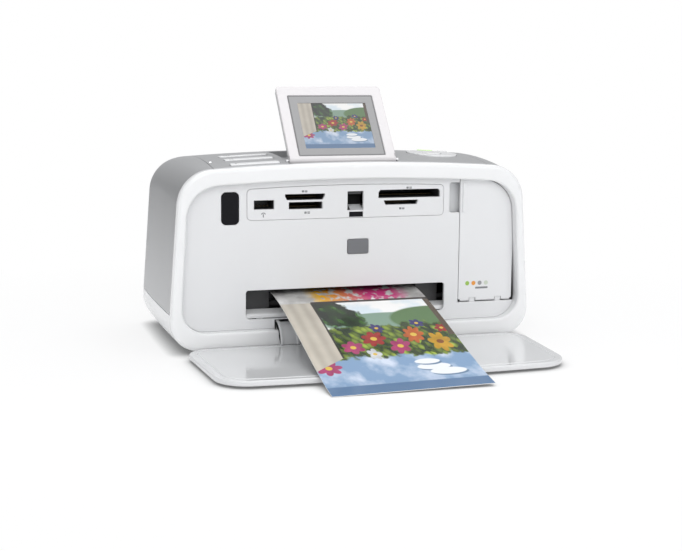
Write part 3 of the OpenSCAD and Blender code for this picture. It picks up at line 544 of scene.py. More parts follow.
def carve(piece, *cutters, how="DIFFERENCE"):
    """Cuts, joins or intersects the piece with each solid, which is then thrown away"""
    for cutter in cutters:
        step = piece.modifiers.new("carve", "BOOLEAN")
        step.object, step.operation, step.solver = cutter, how, "EXACT"
    bake(piece)
    for cutter in cutters:
        bpy.data.objects.remove(cutter)
    return piece


def join_to(piece, *others):
    return carve(piece, *others, how="UNION")


def within(piece, low, high):
    return carve(piece, block(low, high), how="INTERSECT")


EDGE_ANGLE, SHARP_ANGLE = math.radians(35.0), math.radians(50)
CALM_WEIGHT = 60


def soften(piece, width=0.3, segments=3):
    """Rounds every edge sharper than the edge angle and calms the shading of the flat faces"""
    shape = bmesh.new()
    shape.from_mesh(piece.data)
    bmesh.ops.remove_doubles(shape, verts=shape.verts, dist=MM * 0.01)
    shape.to_mesh(piece.data)
    shape.free()
    if width:
        edge = piece.modifiers.new("edge", "BEVEL")
        edge.width, edge.segments = width * MM, segments
        edge.limit_method, edge.angle_limit = "ANGLE", EDGE_ANGLE
        edge.use_clamp_overlap = False
        edge.harden_normals = False
        bake(piece)
    for face in piece.data.polygons:
        face.use_smooth = True
    piece.data.set_sharp_from_angle(angle=SHARP_ANGLE)
    calm = piece.modifiers.new("calm", "WEIGHTED_NORMAL")
    calm.keep_sharp = True
    calm.weight = CALM_WEIGHT
    return bake(piece)


made = []


def keep(piece, body, material, *replaced, name=None):
    """Gives a finished piece its material and body, and takes the place of frame pieces"""
    if name:
        piece.name = name
    piece.data.materials.clear()
    piece.data.materials.append(material)
    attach(piece, body)
    if replaced:
        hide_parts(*replaced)
    made.append(piece.name)
    return piece


# %% [markdown]
# ## The outer shells
# The real body is five mouldings around a hollow: a white base, two silver sides, a silver top
# and a grey rear. They are all cut from one smooth outer form less one inner form, as if one
# egg were sliced, so neighbouring shells run into each other without a step and only the thin
# seam shows between them.

# %% Outer and inner form
FAR = 300.0
RINGS = 18


def form(name, inset, first_y, round_r):
    flat = [first_y + (REAR_Y - first_y) * i / RINGS for i in range(RINGS + 1)]
    rings = [at_y(body_outline(y, inset), y) for y in flat]
    for inward, back in quarter(8, 1):
        rings.append(at_y(body_outline(REAR_Y, inset + round_r * inward), REAR_Y + round_r * back))
    return loft(name, rings)


def outer_form():
    return form("outer", 0, FRAME_D + SEAM, REAR_R)


def shell(name, low, high):
    piece = within(outer_form(), low, high)
    piece.name = name
    return carve(piece, form("inner", WALL, FRAME_D - 1, REAR_R - WALL))


# %% Where the tray's arms sweep
SWEEP_R, HUB_ROOM_R = 13.6, 9.6


def axis_rod(x0, x1, radius):
    """A round bar along the tray's hinge axis"""
    return rod((x0, *TRAY_AXIS), (x1, *TRAY_AXIS), radius)


def arm_clearance(side):
    """The space of one arm and its hub: a disc less the part in front of and below the arm"""
    x0, x1 = side * ARM_X - ARM_W / 2 - 1, side * ARM_X + ARM_W / 2 + 1
    core = prism_x("core", arc(TRAY_AXIS, HUB_ROOM_R, 112, 248, 24), x0 - 1, x1 + 1)
    return carve(axis_rod(x0, x1, SWEEP_R), core)


# %% Side covers
SIDE_X = 95.0
for side_name, low_x, high_x in (("left", -FAR, -SIDE_X - SEAM / 2), ("right", SIDE_X + SEAM / 2, FAR)):
    cover = shell(f"side_cover_{side_name}_shell", (low_x, 0, BASE_SEAM_Z + SEAM),
                  (high_x, REAR_Y + SEAM, FAR))
    keep(soften(cover, 0.3), "printer", silver, f"side_cover_{side_name}")
    print(cover.name, len(cover.data.polygons), "faces")

# %% [markdown]
# ## Top with its tub
# The top is one silver moulding with a shallow tub for the folded screen and holes for the
# eight buttons. A tray-shaped block under the tub gives it a floor.

# %% Top cover
TUB = {"x0": -43.75, "x1": 31.35, "y0": 8.5, "y1": 79.0, "floor": 120.9, "wall": 1.8}
BAR_ROWS, BARS_Y = ("front", "middle", "rear"), (15.0, 33.0, 51.0)
BAR_X, BAR_HX, BAR_HY = -66.0, 16.5, 3.0
NAV, OK_R, NAV_R = (69.0, 47.0), 6.0, 17.5
ROUND_BUTTONS = {"print_button": (76.0, 80.0, 5.5), "cancel_button": (44.0, 70.0, 3.6),
                 "power_button": (88.0, 76.0, 3.6)}
STATUS_LAMP, STATUS_R = (-92.6, 29.5), 0.9
HINGE_TROUGH_R = 4.75
HOLE = 0.35
UNDER_TOP, OVER_TOP = 110, 140


def through_top(x, y, radius):
    """A round bar that passes through the top"""
    return rod((x, y, UNDER_TOP), (x, y, OVER_TOP), radius)


top_x = SIDE_X - SEAM / 2
top = shell("top_cover_shell", (-top_x, 0, 100), (top_x, REAR_Y + SEAM, FAR))
tub_block = within(outer_form(), (TUB["x0"] - TUB["wall"], 0, TUB["floor"] - 3.2),
                   (TUB["x1"] + TUB["wall"], TUB["y1"] + TUB["wall"], FAR))
join_to(top, tub_block)
tub_hinge = ((TUB["x0"], *SCREEN_AXIS.yz), (TUB["x1"], *SCREEN_AXIS.yz))
holes = [block((TUB["x0"], TUB["y0"], TUB["floor"]), (TUB["x1"], TUB["y1"], FAR)),
         rod(*tub_hinge, HINGE_TROUGH_R)]
holes += [block((BAR_X - BAR_HX - HOLE, y - BAR_HY - HOLE, UNDER_TOP),
                (BAR_X + BAR_HX + HOLE, y + BAR_HY + HOLE, OVER_TOP)) for y in BARS_Y]
holes += [through_top(x, y, r + HOLE)
          for x, y, r in ((*NAV, NAV_R), *ROUND_BUTTONS.values(), (*STATUS_LAMP, STATUS_R))]
carve(top, *holes)
keep(soften(top, 0.3), "printer", silver, "top_panel")
print(top.name, len(top.data.polygons), "faces,", len(holes), "cuts")

# %% [markdown]
# ## Base
# The base is a white dish. Its floor has cooling slots, two windows for the tray's arms and,
# at the back, the two socket windows. The arms' pins sit in small ears on the floor.

# %% Base
base = shell("base_shell", (-FAR, 0, -1), (FAR, FAR, BASE_SEAM_Z))
vents = [block((x, 44, 0), (x + 3, 60, 10)) for x in range(-60, 61, 8)]
windows = [block((83, body_d - 9, 13), (96, body_d + 1, 25)),
           block((69, body_d - 9, 13), (81, body_d + 1, 25))]
carve(base, *vents, *windows, arm_clearance(-1), arm_clearance(1))
for side in (-1, 1):
    for end in (-1, 1):
        middle = side * ARM_X + end * (ARM_W / 2 + 2.7)
        ear = [(FRAME_D + 0.6, 3.3), (12, 3.3), (12, 10.25), (3.4, 10.25), (3.4, 5.1), (FRAME_D + 0.6, 5.1)]
        join_to(base, prism_x("ear", ear, middle - 1.5, middle + 1.5))
keep(soften(base, 0.3), "printer", white_gloss, "base")
print(base.name, len(base.data.polygons), "faces")

# %% [markdown]
# ## Rear cover and the paper door
# The rear cover has a wide opening from just above its middle to the top edge. The paper door
# fills it and carries on the body's rounding, so its outside is cut from the same outer form.

# %% Rear cover
EAR_X, EAR_T = 63.6, 4.4
INPUT_W, INPUT_AXIS = 132.0, (118.2, 66.2)


def rear_ear(side):
    x0 = side * EAR_X - EAR_T / 2
    return block((x0, INPUT_AXIS[0] - 2.4, INPUT_AXIS[1] - 10),
                 (x0 + EAR_T, body_d - 0.3, INPUT_AXIS[1] + 2.6))


rear = shell("rear_cover_shell", (-FAR, REAR_Y + 2 * SEAM, BASE_SEAM_Z + SEAM), (FAR, FAR, FAR))
carve(rear, block((-INPUT_W / 2 - 0.4, 0, INPUT_AXIS[1] - 3), (INPUT_W / 2 + 0.4, FAR, FAR)))
join_to(rear, rear_ear(-1), rear_ear(1))
keep(soften(rear, 0.3), "printer", rear_matt, "rear_cover")

# %% Paper door
DOOR_Y = REAR_Y + 2 * SEAM
door = within(outer_form(), (-INPUT_W / 2, DOOR_Y, INPUT_AXIS[1]), (INPUT_W / 2, FAR, FAR))
door.name = "paper_door_shell"
ear_room = [block((side * EAR_X - EAR_T / 2 - 0.4, 0, 0),
                  (side * EAR_X + EAR_T / 2 + 1.0, FAR, INPUT_AXIS[1] + 4)) for side in (-1, 1)]
pocket = [block((-40.6, DOOR_Y + 1.8, 70.4), (40.6, body_d - 3, FAR)),
          block((-11, body_d - 4, 111), (11, FAR, FAR)),
          block((34, 0, 95.6), (60, DOOR_Y + 1.81, 99.4))]
carve(door, *ear_room)
join_to(door, rod((-60.6, *INPUT_AXIS), (60.6, *INPUT_AXIS), 2.6))
bore = rod((-FAR, *INPUT_AXIS), (FAR, *INPUT_AXIS), 1.26)
carve(door, *pocket, bore)
keep(soften(door, 0.3), "input_door", rear_matt, "input_door")
print("rear cover", len(rear.data.polygons), "and door", len(door.data.polygons), "faces")

# %% [markdown]
# ## The white ring around the front
# The ring is a closed band: out from the seam, round the soft outer edge, flat across the face,
# down the small chamfer and along the wall of the recess, then back inside. Both outlines have
# the same count of points, so the band is one loft around the arch, with no cut at all except
# the two windows where the tray's arms pass.

# %% Front ring
EDGE_R, CHAMFER = 3.0, 1.5
RING_LIP, FACE_BACK = 2, 2.6


def ring_section():
    """Outlines around the ring's cross-section, from the outer seam round to the inside"""
    yield at_y(body_outline(FRAME_D, 0), FRAME_D)
    for inward, forward in quarter(8):
        yield at_y(body_outline(FRAME_D, EDGE_R * inward), EDGE_R * (1 - forward))
    for back, inward in quarter(4):
        yield at_y(recess_outline(-CHAMFER + CHAMFER * inward), CHAMFER * back)
    yield at_y(recess_outline(0), PANEL_BACK)
    yield at_y(recess_outline(-RING_LIP), PANEL_BACK)
    yield at_y(recess_outline(-RING_LIP), FACE_BACK)
    yield at_y(body_outline(FRAME_D, WALL), FACE_BACK)
    yield at_y(body_outline(FRAME_D, WALL), FRAME_D)


ring = loft("front_ring", list(ring_section()), closed=True)
carve(ring, arm_clearance(-1), arm_clearance(1))
keep(soften(ring, 0.25), "printer", white_gloss, "front_frame")
print(ring.name, len(ring.data.polygons), "faces")

# %% [markdown]
# ## Wall of the recess
# Behind the ring stands the front panel, a flat pale moulding full of windows: the paper slot,
# the card panel, the infrared window, the bare badge plate, the finger notch and the bay of the
# cartridge door. Its outline is the recess outline itself, and each window is cut with a prism
# that has the window's own rounded corners.

# %% Front panel
DOOR_X0, DOOR_X1, DOOR_Z0 = 75.6, 115.0, 26.2
DOOR_AXIS = (8.5, 27.5)
KNUCKLE_X, KNUCKLE_W = (84, 103), 4
SLOT, SLOT_LOW_R, SLOT_HIGH_R = (-74.0, 20.6, 65.0, 40.0), 3, 2
INFRARED, BADGE = (-90, 84, -78.6, 105), (-4.6, 62, 10.1, 72)
NOTCH = (67.7, 88, 78, 108.4)
CARD_LOW, CARD_HIGH, CARD_X0, CARD_X1, CARD_R = 86.5, 108.4, -73.0, 63.2, 2.8
THROUGH = 20


def card_outline(grow):
    """The card panel: straight at its foot, and following the recess's arch along its top"""
    r = CARD_R + grow
    low, high = CARD_LOW - grow + r, CARD_HIGH + grow - ARCH_R
    ends = [CARD_X1 + grow - r, CARD_X0 - grow + r]
    heights = [high + math.sqrt((ARCH_R - r) ** 2 - x * x) for x in ends]
    turns = [math.degrees(math.atan2(z - high, x)) for x, z in zip(ends, heights)]
    return (arc((ends[0], low), r, -90, 0, 8) + arc((ends[0], heights[0]), r, 0, turns[0], 8)
            + arc((0, high), ARCH_R, turns[0], turns[1], 12)[1:]
            + arc((ends[1], heights[1]), r, turns[1], 180, 8)[1:] + arc((ends[1], low), r, 180, 270, 8))


panel = prism_y("front_panel_wall", recess_outline(0.05), RECESS_D, PANEL_BACK)
notch_back = block((66.4, PANEL_BACK - 0.01, 86.8), (75.2, PANEL_BACK + 4.8, 109.6))
panel_windows = [
    block((DOOR_X0 - 0.4, 0, DOOR_Z0 - 0.6), (FAR, FAR, FAR)),
    prism_y("card", card_outline(0.2), 0, THROUGH),
    prism_y("infrared", rounded(*grown(INFRARED, 0.2), 3.2), 0, THROUGH),
    prism_y("badge", rounded(*grown(BADGE, 0.1), 1.2), 0, RECESS_D + 0.9),
    prism_y("notch", rounded(*NOTCH, 1.5), 0, PANEL_BACK + 3.6),
    prism_y("slot", rounded(*SLOT, SLOT_LOW_R, upper_r=SLOT_HIGH_R), 0, THROUGH),
    arm_clearance(-1), arm_clearance(1)]
join_to(panel, notch_back)
carve(panel, *panel_windows)
knuckles = [block((x, RECESS_D + 0.6, 20), (x + KNUCKLE_W, RECESS_D + 4.5, 29.2)) for x in KNUCKLE_X]
join_to(panel, *knuckles)
carve(panel, rod((80, *DOOR_AXIS), (110, *DOOR_AXIS), 0.7))
keep(soften(panel, 0.35), "printer", recess_matt, "front_panel")
print(panel.name, len(panel.data.polygons), "faces")

# %% Card panel
CARD_MOUTHS = [
    [(-46.2, 99), (-21.8, 99), (-20.4, 101.5), (-20.4, 103), (-47.6, 103), (-47.6, 101.5)],
    [(-45, 93), (-22, 93), (-22, 97.7), (-45, 97.7)],
    [(16.8, 99), (60.7, 99), (60.7, 103), (59.4, 104.5), (18.1, 104.5), (16.8, 103)],
    [(21.8, 94.4), (44, 94.4), (45.3, 97.4), (20.5, 97.4)],
    [(-68.5, 93.4), (-54.9, 93.4), (-54.9, 99.4), (-68.5, 99.4)]]
LATCH_HOLE, LATCH_WINDOW = (-4.8, 91.4, 6.3, 104), (-3.6, 86.9, 6.1, 90.4)
card = prism_y("card_panel_plate", card_outline(0), RECESS_D, PANEL_BACK)
mouths = [prism_y("mouth", points, 0, THROUGH) for points in CARD_MOUTHS]
carve(card, *mouths, upright("hole", LATCH_HOLE, 0, THROUGH),
      upright("hole", LATCH_WINDOW, 0, RECESS_D + 1))
keep(soften(card, 0.15), "printer", recess_matt, "card_panel")

# %% Infrared window and badge plate
infrared = prism_y("infrared_window_lens", rounded(*INFRARED, 3), RECESS_D - 0.35, PANEL_BACK)
keep(soften(infrared, 0.5, 4), "printer", window_black, "ir_window")
badge = prism_y("badge_blank", rounded(*BADGE, 1.1), RECESS_D - 0.4, RECESS_D + 0.85)
keep(soften(badge, 0.35, 4), "printer", badge_grey, "badge_plate")
print("card panel", len(card.data.polygons), "faces,", len(CARD_MOUTHS), "mouths")

# %% [markdown]
# ## Cartridge door
# The door is the right part of the recess wall. It hangs on a pin along its lower edge and
# swings down and forward. A thin upright ridge beside the finger notch is what a fingertip
# pulls. Small coloured dots low on the door stand where a maker would put a label.

# %% Cartridge door
cover_door = within(prism_y("cartridge_door_shell", recess_outline(0.25), RECESS_D, RECESS_D + 2.2),
                    (DOOR_X0, 0, DOOR_AXIS[1]), (DOOR_X1, FAR, FAR))
ribs = [block((x, RECESS_D + 2, 32), (x + 1.2, RECESS_D + 6, 99)) for x in (79, 108)]
ribs += [block((79, RECESS_D + 2, 62), (109, RECESS_D + 6, 63.2)),
         prism_y("ridge", rounded(77.2, 88, 79.6, 108, 1.1), RECESS_D - 1, RECESS_D + 1),
         rod((DOOR_X0 + 1.4, *DOOR_AXIS), (DOOR_X1 - 1, *DOOR_AXIS), 1.5)]
join_to(cover_door, *ribs)
gaps = [block((x - 0.4, y, 0), (x + KNUCKLE_W + 0.4, FAR, z)) for x in KNUCKLE_X
        for y, z in ((0, 28.5), (RECESS_D + 0.4, 30.4))]
carve(cover_door, *gaps, rod((0, *DOOR_AXIS), (FAR, *DOOR_AXIS), 0.76))
keep(soften(cover_door, 0.3), "cartridge_door", door_matt, "cartridge_door")
print(cover_door.name, len(cover_door.data.polygons), "faces")

# %% [markdown]
# ## Output tray
# The tray is the recess's lid: the same arch, a little smaller, lying on its back. It is made as
# a band of outlines with a shallow groove about 5 mm inside the edge, closed by flat faces, and
# laid down from the closed place by a quarter turn about the hinge.

# %% Tray plate
TRAY_GAP = 0.7
CLOSED_BOTTOM = RECESS_Z + 2.15
CLOSED_INNER_Y = RECESS_D - 1
UPPER_R, LOWER_R = 1.2, 1.4
GROOVE = ((6.4, 0.0), (6.0, 0.02), (5.75, 0.18), (5.5, 0.42), (5.2, 0.5), (4.9, 0.42),
          (4.65, 0.18), (4.4, 0.02), (4.0, 0.0))


def laid_down(x, y, z):
    """A point of the closed tray, turned forward about the hinge until the tray lies flat"""
    axis_y, axis_z = TRAY_AXIS
    return (x, axis_y - (z - axis_z), axis_z + (y - axis_y))


def tray_ring(inset, below_top):
    outline = recess_outline(TRAY_GAP + inset, CLOSED_BOTTOM - TRAY_GAP)
    return [laid_down(x, CLOSED_INNER_Y - below_top, z) for x, z in outline]


def tray_sections():
    """Insets and depths from the middle of the top, over the groove and the edge, to the underside"""
    yield from GROOVE
    for down, outward in quarter(6):
        yield UPPER_R * (1 - outward), UPPER_R * down
    yield 0.0, TRAY_T - LOWER_R
    for inward, down in quarter(4, 1):
        yield inward, TRAY_T - LOWER_R + LOWER_R * down


tray = loft("output_tray_plate", [tray_ring(i, d) for i, d in tray_sections()])

# %% [markdown]
# The arms are curved channels that carry the tray through the front ring to its pins. Each is
# a ring sector with raised rims along both sides, and the hub at its end takes the pin.

# %% Tray arms and hook
RIM_W, HUB_R, PIN_ROOM_R = 1.8, 3.2, 1.46


def sector(x0, x1, r0, r1, start, end):
    """A ring sector about the tray's axis, between two radii and two angles"""
    profile = arc(TRAY_AXIS, r1, start, end, 36) + arc(TRAY_AXIS, r0, end, start, 36)
    return prism_x("sector", profile, x0, x1)


def tray_arm(x):
    low, high = x - ARM_W / 2, x + ARM_W / 2
    arm = sector(low, high, 10.5, 12.1, 80, 187)
    rims = [sector(x0, x1, 10.0, 13.2, 80, 184) for x0, x1 in ((low, low + RIM_W), (high - RIM_W, high))]
    join_to(arm, *rims, sector(low, high, 1.0, 11.0, 80, 97), axis_rod(low, high, HUB_R))
    carve(arm, axis_rod(-FAR, FAR, PIN_ROOM_R))
    return soften(arm, 0.3)


HOOK_Y, HOOK_X = -84.5, (-3.2, 4.7)
keep(soften(tray, 0), "output_tray", tray_gloss, "output_tray")
for side_name, x in (("left", -ARM_X), ("right", ARM_X)):
    keep(tray_arm(x), "output_tray", tray_gloss, name=f"tray_arm_{side_name}")
hook = block((HOOK_X[0], HOOK_Y - 3, TRAY_TOP_Z - 1), (HOOK_X[1], HOOK_Y - 1, TRAY_TOP_Z + 4.5), "tray_hook")
join_to(hook, block((HOOK_X[0], HOOK_Y - 3, TRAY_TOP_Z + 3), (HOOK_X[1], HOOK_Y + 1, TRAY_TOP_Z + 4.5)))
keep(soften(hook, 0.4), "output_tray", tray_gloss)
print(tray.name, len(tray.data.polygons), "faces")

# %% [markdown]
# ## Screen
# The screen folds up out of its tub on two short pins. It has four layers: a glossy white bezel,
# a silver back shell, a clear window printed grey around its rim, and the lit display. They are
# drawn flat, with Y running away from the hinge, and then tilted about the hinge's axis.

# %% Tilting helper
SCREEN_S = 3.2
GLASS = (-30.1, 5.2, 30.1, 55.4)
LIT = (-24.1, 11.4, 24.1, 49.0)


def tilted(piece):
    """Turns a piece drawn flat into the screen's place"""
    turn = Matrix.Rotation(math.radians(SCREEN_TILT), 4, "X")
    place = Matrix.Translation(SCREEN_AXIS * MM) @ turn @ Matrix.Translation((0, -SCREEN_S * MM, 0))
    piece.data.transform(place)
    return piece


def plate(name, x0, y0, x1, y1, z0, z1, r):
    outline = rounded(x0, y0, x1, y1, r)
    return loft(name, [[(x, y, z) for x, y in outline] for z in (z0, z1)])


# %% Bezel and back shell
half_screen, half_t = SCREEN_W / 2, SCREEN_T / 2
bezel = plate("screen_bezel_frame", -half_screen, SCREEN_S, half_screen, SCREEN_L, half_t - 3, half_t, 2.2)
join_to(bezel, block((-half_screen, SCREEN_S, half_t - 3), (half_screen, SCREEN_S + 3, half_t)),
        rod((-half_screen, SCREEN_S, 0), (half_screen, SCREEN_S, 0), half_t))
carve(bezel, plate("rebate", *GLASS, half_t - 1.1, half_t + 1, 0.8),
      plate("light", -27.1, 7.2, 27.1, 52.4, -9, 9, 0.8),
      rod((-FAR, SCREEN_S, 0), (FAR, SCREEN_S, 0), 1.06))
keep(tilted(soften(bezel, 0.45, 4)), "screen", bezel_white, "screen_bezel")
back_shell = plate("screen_back_shell", -half_screen + 0.3, SCREEN_S + half_t + 0.6, half_screen - 0.3,
                   SCREEN_L - 0.3, -half_t, half_t - 3.02, 2)
carve(back_shell, plate("pocket", -28.1, 7.2, 28.1, 53.4, -half_t + 1.2, 9, 0.8))
keep(tilted(soften(back_shell, 0.8, 5)), "screen", silver, "screen_back")
print("screen tilted", SCREEN_TILT, "degrees")

# %% [markdown]
# ## A picture drawn by formulas
# The screen and the print both show a small generic garden: a pale sky over a lake, a hedge, big
# simple flowers, white stepping stones, a wooden fence on the left and a garland over a beam at
# the top. It isn't an image file. Each motif is a mask worked out from the picture's own UV
# coordinates, and the masks are painted one over the other from back to front. One node group
# holds it, so the screen and the print share it.

# %% Masks of simple shapes
SOFT_EDGE = 0.04


def below(tree, value, limit, edge=0.01):
    """1 where the value is under the limit, 0 over it"""
    return ramp(tree, maths(tree, "SUBTRACT", limit, value), -edge, edge)


def local_place(tree, uv, centre, size, turn=0.0):
    """Coordinates of a motif whose half width and half height are 1"""
    node = tree.nodes.new("ShaderNodeMapping")
    node.vector_type = "TEXTURE"
    return fill_node(tree, node, 0, Vector=uv, Location=(*centre, 0),
                     Rotation=(0, 0, math.radians(turn)), Scale=(*size, 1))


def reach_of(tree, local):
    """Distance from a motif's middle, where 1 is its edge"""
    return vector_maths(tree, "LENGTH", 1, i0=local)


def ellipse(tree, uv, centre, size):
    return below(tree, reach_of(tree, local_place(tree, uv, centre, size)), 1.0, SOFT_EDGE)


def line_at(tree, value, middle, half_width, edge):
    """1 on a thin straight line across the picture"""
    return below(tree, maths(tree, "ABSOLUTE", minus(tree, value, middle)), half_width, edge)


# %% Masks of flowers and leaves
def blossom(tree, uv, centre, size, petals, turn):
    """Round petals: the outline's reach swings with the angle around the middle"""
    local = local_place(tree, uv, centre, size, turn)
    x, y = split(tree, local)[:2]
    angle = maths(tree, "ARCTAN2", y, x)
    swing = maths(tree, "ABSOLUTE", maths(tree, "SINE", times(tree, angle, petals / 2)))
    return below(tree, reach_of(tree, local), plus(tree, 0.62, times(tree, swing, 0.38)), SOFT_EDGE)


def leaves(tree, uv, scale, dark, light):
    """Small leaves in mixed greens: one tone for each cell, darker towards its rim"""
    cells = tree.nodes.new("ShaderNodeTexVoronoi")
    fill_node(tree, cells, Scale=scale, Vector=local_place(tree, uv, (0, 0), (1.0, 1.6), 35))
    tone = add_node(tree, "ShaderNodeSeparateColor", Color=cells.outputs["Color"])
    rim = ramp(tree, cells.outputs["Distance"], 0.2, 0.75, 1.0, 0.25)
    return blend_colours(tree, times(tree, tone, rim), dark, light)


def leafy_crown(tree, uv, centre, size, ragged):
    """A bush or a tree's crown: an ellipse with its edge pushed in and out by a noise"""
    reach = reach_of(tree, local_place(tree, uv, centre, size))
    return below(tree, reach, plus(tree, 0.45, times(tree, ragged, 0.9)), SOFT_EDGE * 2)


# %% The garden
PINK, RED, YELLOW = (0.62, 0.10, 0.28, 1), (0.55, 0.05, 0.04, 1), (0.80, 0.50, 0.03, 1)
ORANGE, VIOLET, WHITE = (0.75, 0.22, 0.03, 1), (0.10, 0.08, 0.30, 1), (0.86, 0.88, 0.90, 1)
GOLDEN_HEART, DARK_HEART = (0.75, 0.55, 0.12, 1), (0.30, 0.12, 0.02, 1)
FLOWERS = [((0.30, 0.43), 0.075, 6, PINK), ((0.46, 0.50), 0.085, 7, RED), ((0.60, 0.42), 0.080, 6, PINK),
           ((0.73, 0.52), 0.085, 8, ORANGE), ((0.87, 0.44), 0.095, 7, YELLOW),
           ((0.41, 0.36), 0.055, 5, WHITE), ((0.52, 0.60), 0.050, 6, VIOLET),
           ((0.80, 0.63), 0.050, 6, VIOLET), ((0.08, 0.26), 0.085, 7, PINK), ((0.94, 0.57), 0.05, 6, RED)]
STONES = [((0.72, 0.215), (0.105, 0.030)), ((0.79, 0.165), (0.115, 0.032)), ((0.70, 0.265), (0.080, 0.024))]
STONE_SHADE = (0.20, 0.30, 0.42, 1)
CROWNS = [((0.30, 0.78), (0.13, 0.16)), ((0.22, 0.90), (0.10, 0.14)), ((0.40, 0.70), (0.10, 0.11))]
HILLS = [((0.62, 0.66), (0.42, 0.10), (0.30, 0.42, 0.34, 1)),
         ((0.95, 0.68), (0.30, 0.13), (0.16, 0.27, 0.12, 1))]
FENCE_EDGE, BEAM_HEIGHT = 0.205, 0.905
PICTURE_CONTRAST = 1.3


def painted(tree, colour, *layers):
    """Paints one layer over the other: each is a mask and a colour"""
    for mask, tone in layers:
        colour = blend_colours(tree, mask, colour, tone)
    return colour


def landscape(tree, uv, along, cloud, fine):
    """Sky, hills, trees, the hedge and the lake"""
    sky = blend_colours(tree, ramp(tree, cloud, 0.42, 0.58), (0.76, 0.84, 0.89, 1), (0.95, 0.95, 0.94, 1))
    thicket = leaves(tree, uv, 22.0, (0.006, 0.020, 0.008, 1), (0.12, 0.30, 0.05, 1))
    foliage = leaves(tree, uv, 30.0, (0.012, 0.045, 0.010, 1), (0.50, 0.62, 0.10, 1))
    lake = blend_colours(tree, ramp(tree, cloud, 0.45, 0.65), (0.30, 0.43, 0.60, 1), (0.70, 0.76, 0.86, 1))
    hedge_edge = plus(tree, 0.56, times(tree, fine, 0.13))
    shore = plus(tree, 0.27, times(tree, fine, 0.12))
    hills = [(ellipse(tree, uv, centre, size), tone) for centre, size, tone in HILLS]
    trees = [(leafy_crown(tree, uv, centre, size, fine), thicket) for centre, size in CROWNS]
    return painted(tree, sky, *hills, *trees, (below(tree, along, hedge_edge), foliage),
                   (below(tree, along, shore), lake))


# %% Stones, flowers and woodwork
def stones_and_flowers(tree, uv, fine, colour):
    for centre, size in STONES:
        low = (centre[0] + 0.008, centre[1] - 0.012)
        colour = painted(tree, colour, (ellipse(tree, uv, low, size), STONE_SHADE),
                         (ellipse(tree, uv, centre, size), WHITE))
    for number, (centre, radius, petals, tone) in enumerate(FLOWERS):
        petal = blossom(tree, uv, centre, (radius, radius * 0.8), petals, number * 23)
        veins = blend_colours(tree, fine, tone, shaded(tone[:3], 0.45))
        heart = ellipse(tree, uv, centre, (radius * 0.25, radius * 0.2))
        heart_tone = DARK_HEART if tone == YELLOW else GOLDEN_HEART
        colour = painted(tree, colour, (petal, veins), (heart, heart_tone))
    return colour


def woodwork(tree, across, along, cloud, fine, colour):
    """The fence with its trim, the bank, the post, and a garland on a wall over the beam"""
    grain = ramp(tree, maths(tree, "SINE", times(tree, across, 75.0)), -1, 1, 0.80, 1.0)
    weathered = times(tree, grain, ramp(tree, cloud, 0.3, 0.7, 0.85, 1.05))
    wood = blend_colours(tree, weathered, (0.20, 0.17, 0.14, 1), (0.64, 0.60, 0.53, 1))
    above_shore = beyond(tree, along, plus(tree, 0.24, times(tree, across, 0.5)))
    fence = times(tree, below(tree, across, 0.20, 0.004), above_shore)
    trim = times(tree, line_at(tree, across, FENCE_EDGE, 0.006, 0.002), above_shore)
    post = times(tree, beyond(tree, across, 0.962), beyond(tree, along, 0.50))
    wall = blend_colours(tree, ramp(tree, cloud, 0.3, 0.7), (0.34, 0.33, 0.32, 1), (0.86, 0.86, 0.85, 1))
    garland = times(tree, ramp(tree, fine, 0.40, 0.50), ramp(tree, across, 0.20, 0.30))
    warm = blend_colours(tree, ramp(tree, across, 0.28, 0.62), YELLOW, PINK)
    hung = blend_colours(tree, times(tree, garland, ramp(tree, across, 0.92, 0.80)), wall, warm)
    beam = times(tree, line_at(tree, along, BEAM_HEIGHT, 0.011, 0.003), beyond(tree, across, FENCE_EDGE))
    return painted(tree, colour, (fence, wood), (trim, (0.05, 0.04, 0.03, 1)),
                   (below(tree, along, 0.085, 0.004), (0.165, 0.27, 0.42, 1)),
                   (post, (0.14, 0.10, 0.065, 1)), (beyond(tree, along, BEAM_HEIGHT), hung),
                   (beam, (0.05, 0.025, 0.015, 1)))


# %% The whole picture
def paint_garden(tree, uv):
    """Returns the picture's colour for picture coordinates from 0,0 to 1,1"""
    across, along = split(tree, uv)[:2]
    cloud, fine = noise(tree, uv, 5.0, 4.0), noise(tree, uv, 16.0, 2.0)
    colour = landscape(tree, uv, along, cloud, fine)
    colour = stones_and_flowers(tree, uv, fine, colour)
    colour = woodwork(tree, across, along, cloud, fine, colour)
    return add_node(tree, "ShaderNodeGamma", Color=colour, Gamma=PICTURE_CONTRAST)


def garden_group():
    tree = bpy.data.node_groups.new("garden_picture", "ShaderNodeTree")
    tree.interface.new_socket("Place", in_out="INPUT", socket_type="NodeSocketVector")
    tree.interface.new_socket("Colour", in_out="OUTPUT", socket_type="NodeSocketColor")
    inside = tree.nodes.new("NodeGroupInput")
    outside = tree.nodes.new("NodeGroupOutput")
    tree.links.new(paint_garden(tree, inside.outputs[0]), outside.inputs[0])
    return tree


garden = garden_group()
print("garden picture:", len(garden.nodes), "nodes")


# %% Materials that show the garden
def show_garden(tree):
    group = tree.nodes.new("ShaderNodeGroup")
    group.node_tree = garden
    return fill_node(tree, group, 0, i0=add_node(tree, "ShaderNodeUVMap"))


def photo_paper(name):
    """Glossy photo paper: the picture on top, plain white on the edges and the back"""
    material, tree, shader = new_material(name)
    top_side = add_node(tree, "ShaderNodeAttribute", outputs=2)
    top_side.node.attribute_name = "printed"
    colour = blend_colours(tree, top_side, (0.80, 0.80, 0.80, 1), show_garden(tree))
    fill_node(tree, shader, Base_Color=colour, Roughness=0.25, Specular_IOR_Level=0.3,
              Coat_Weight=0.2, Coat_Roughness=0.04)
    return material


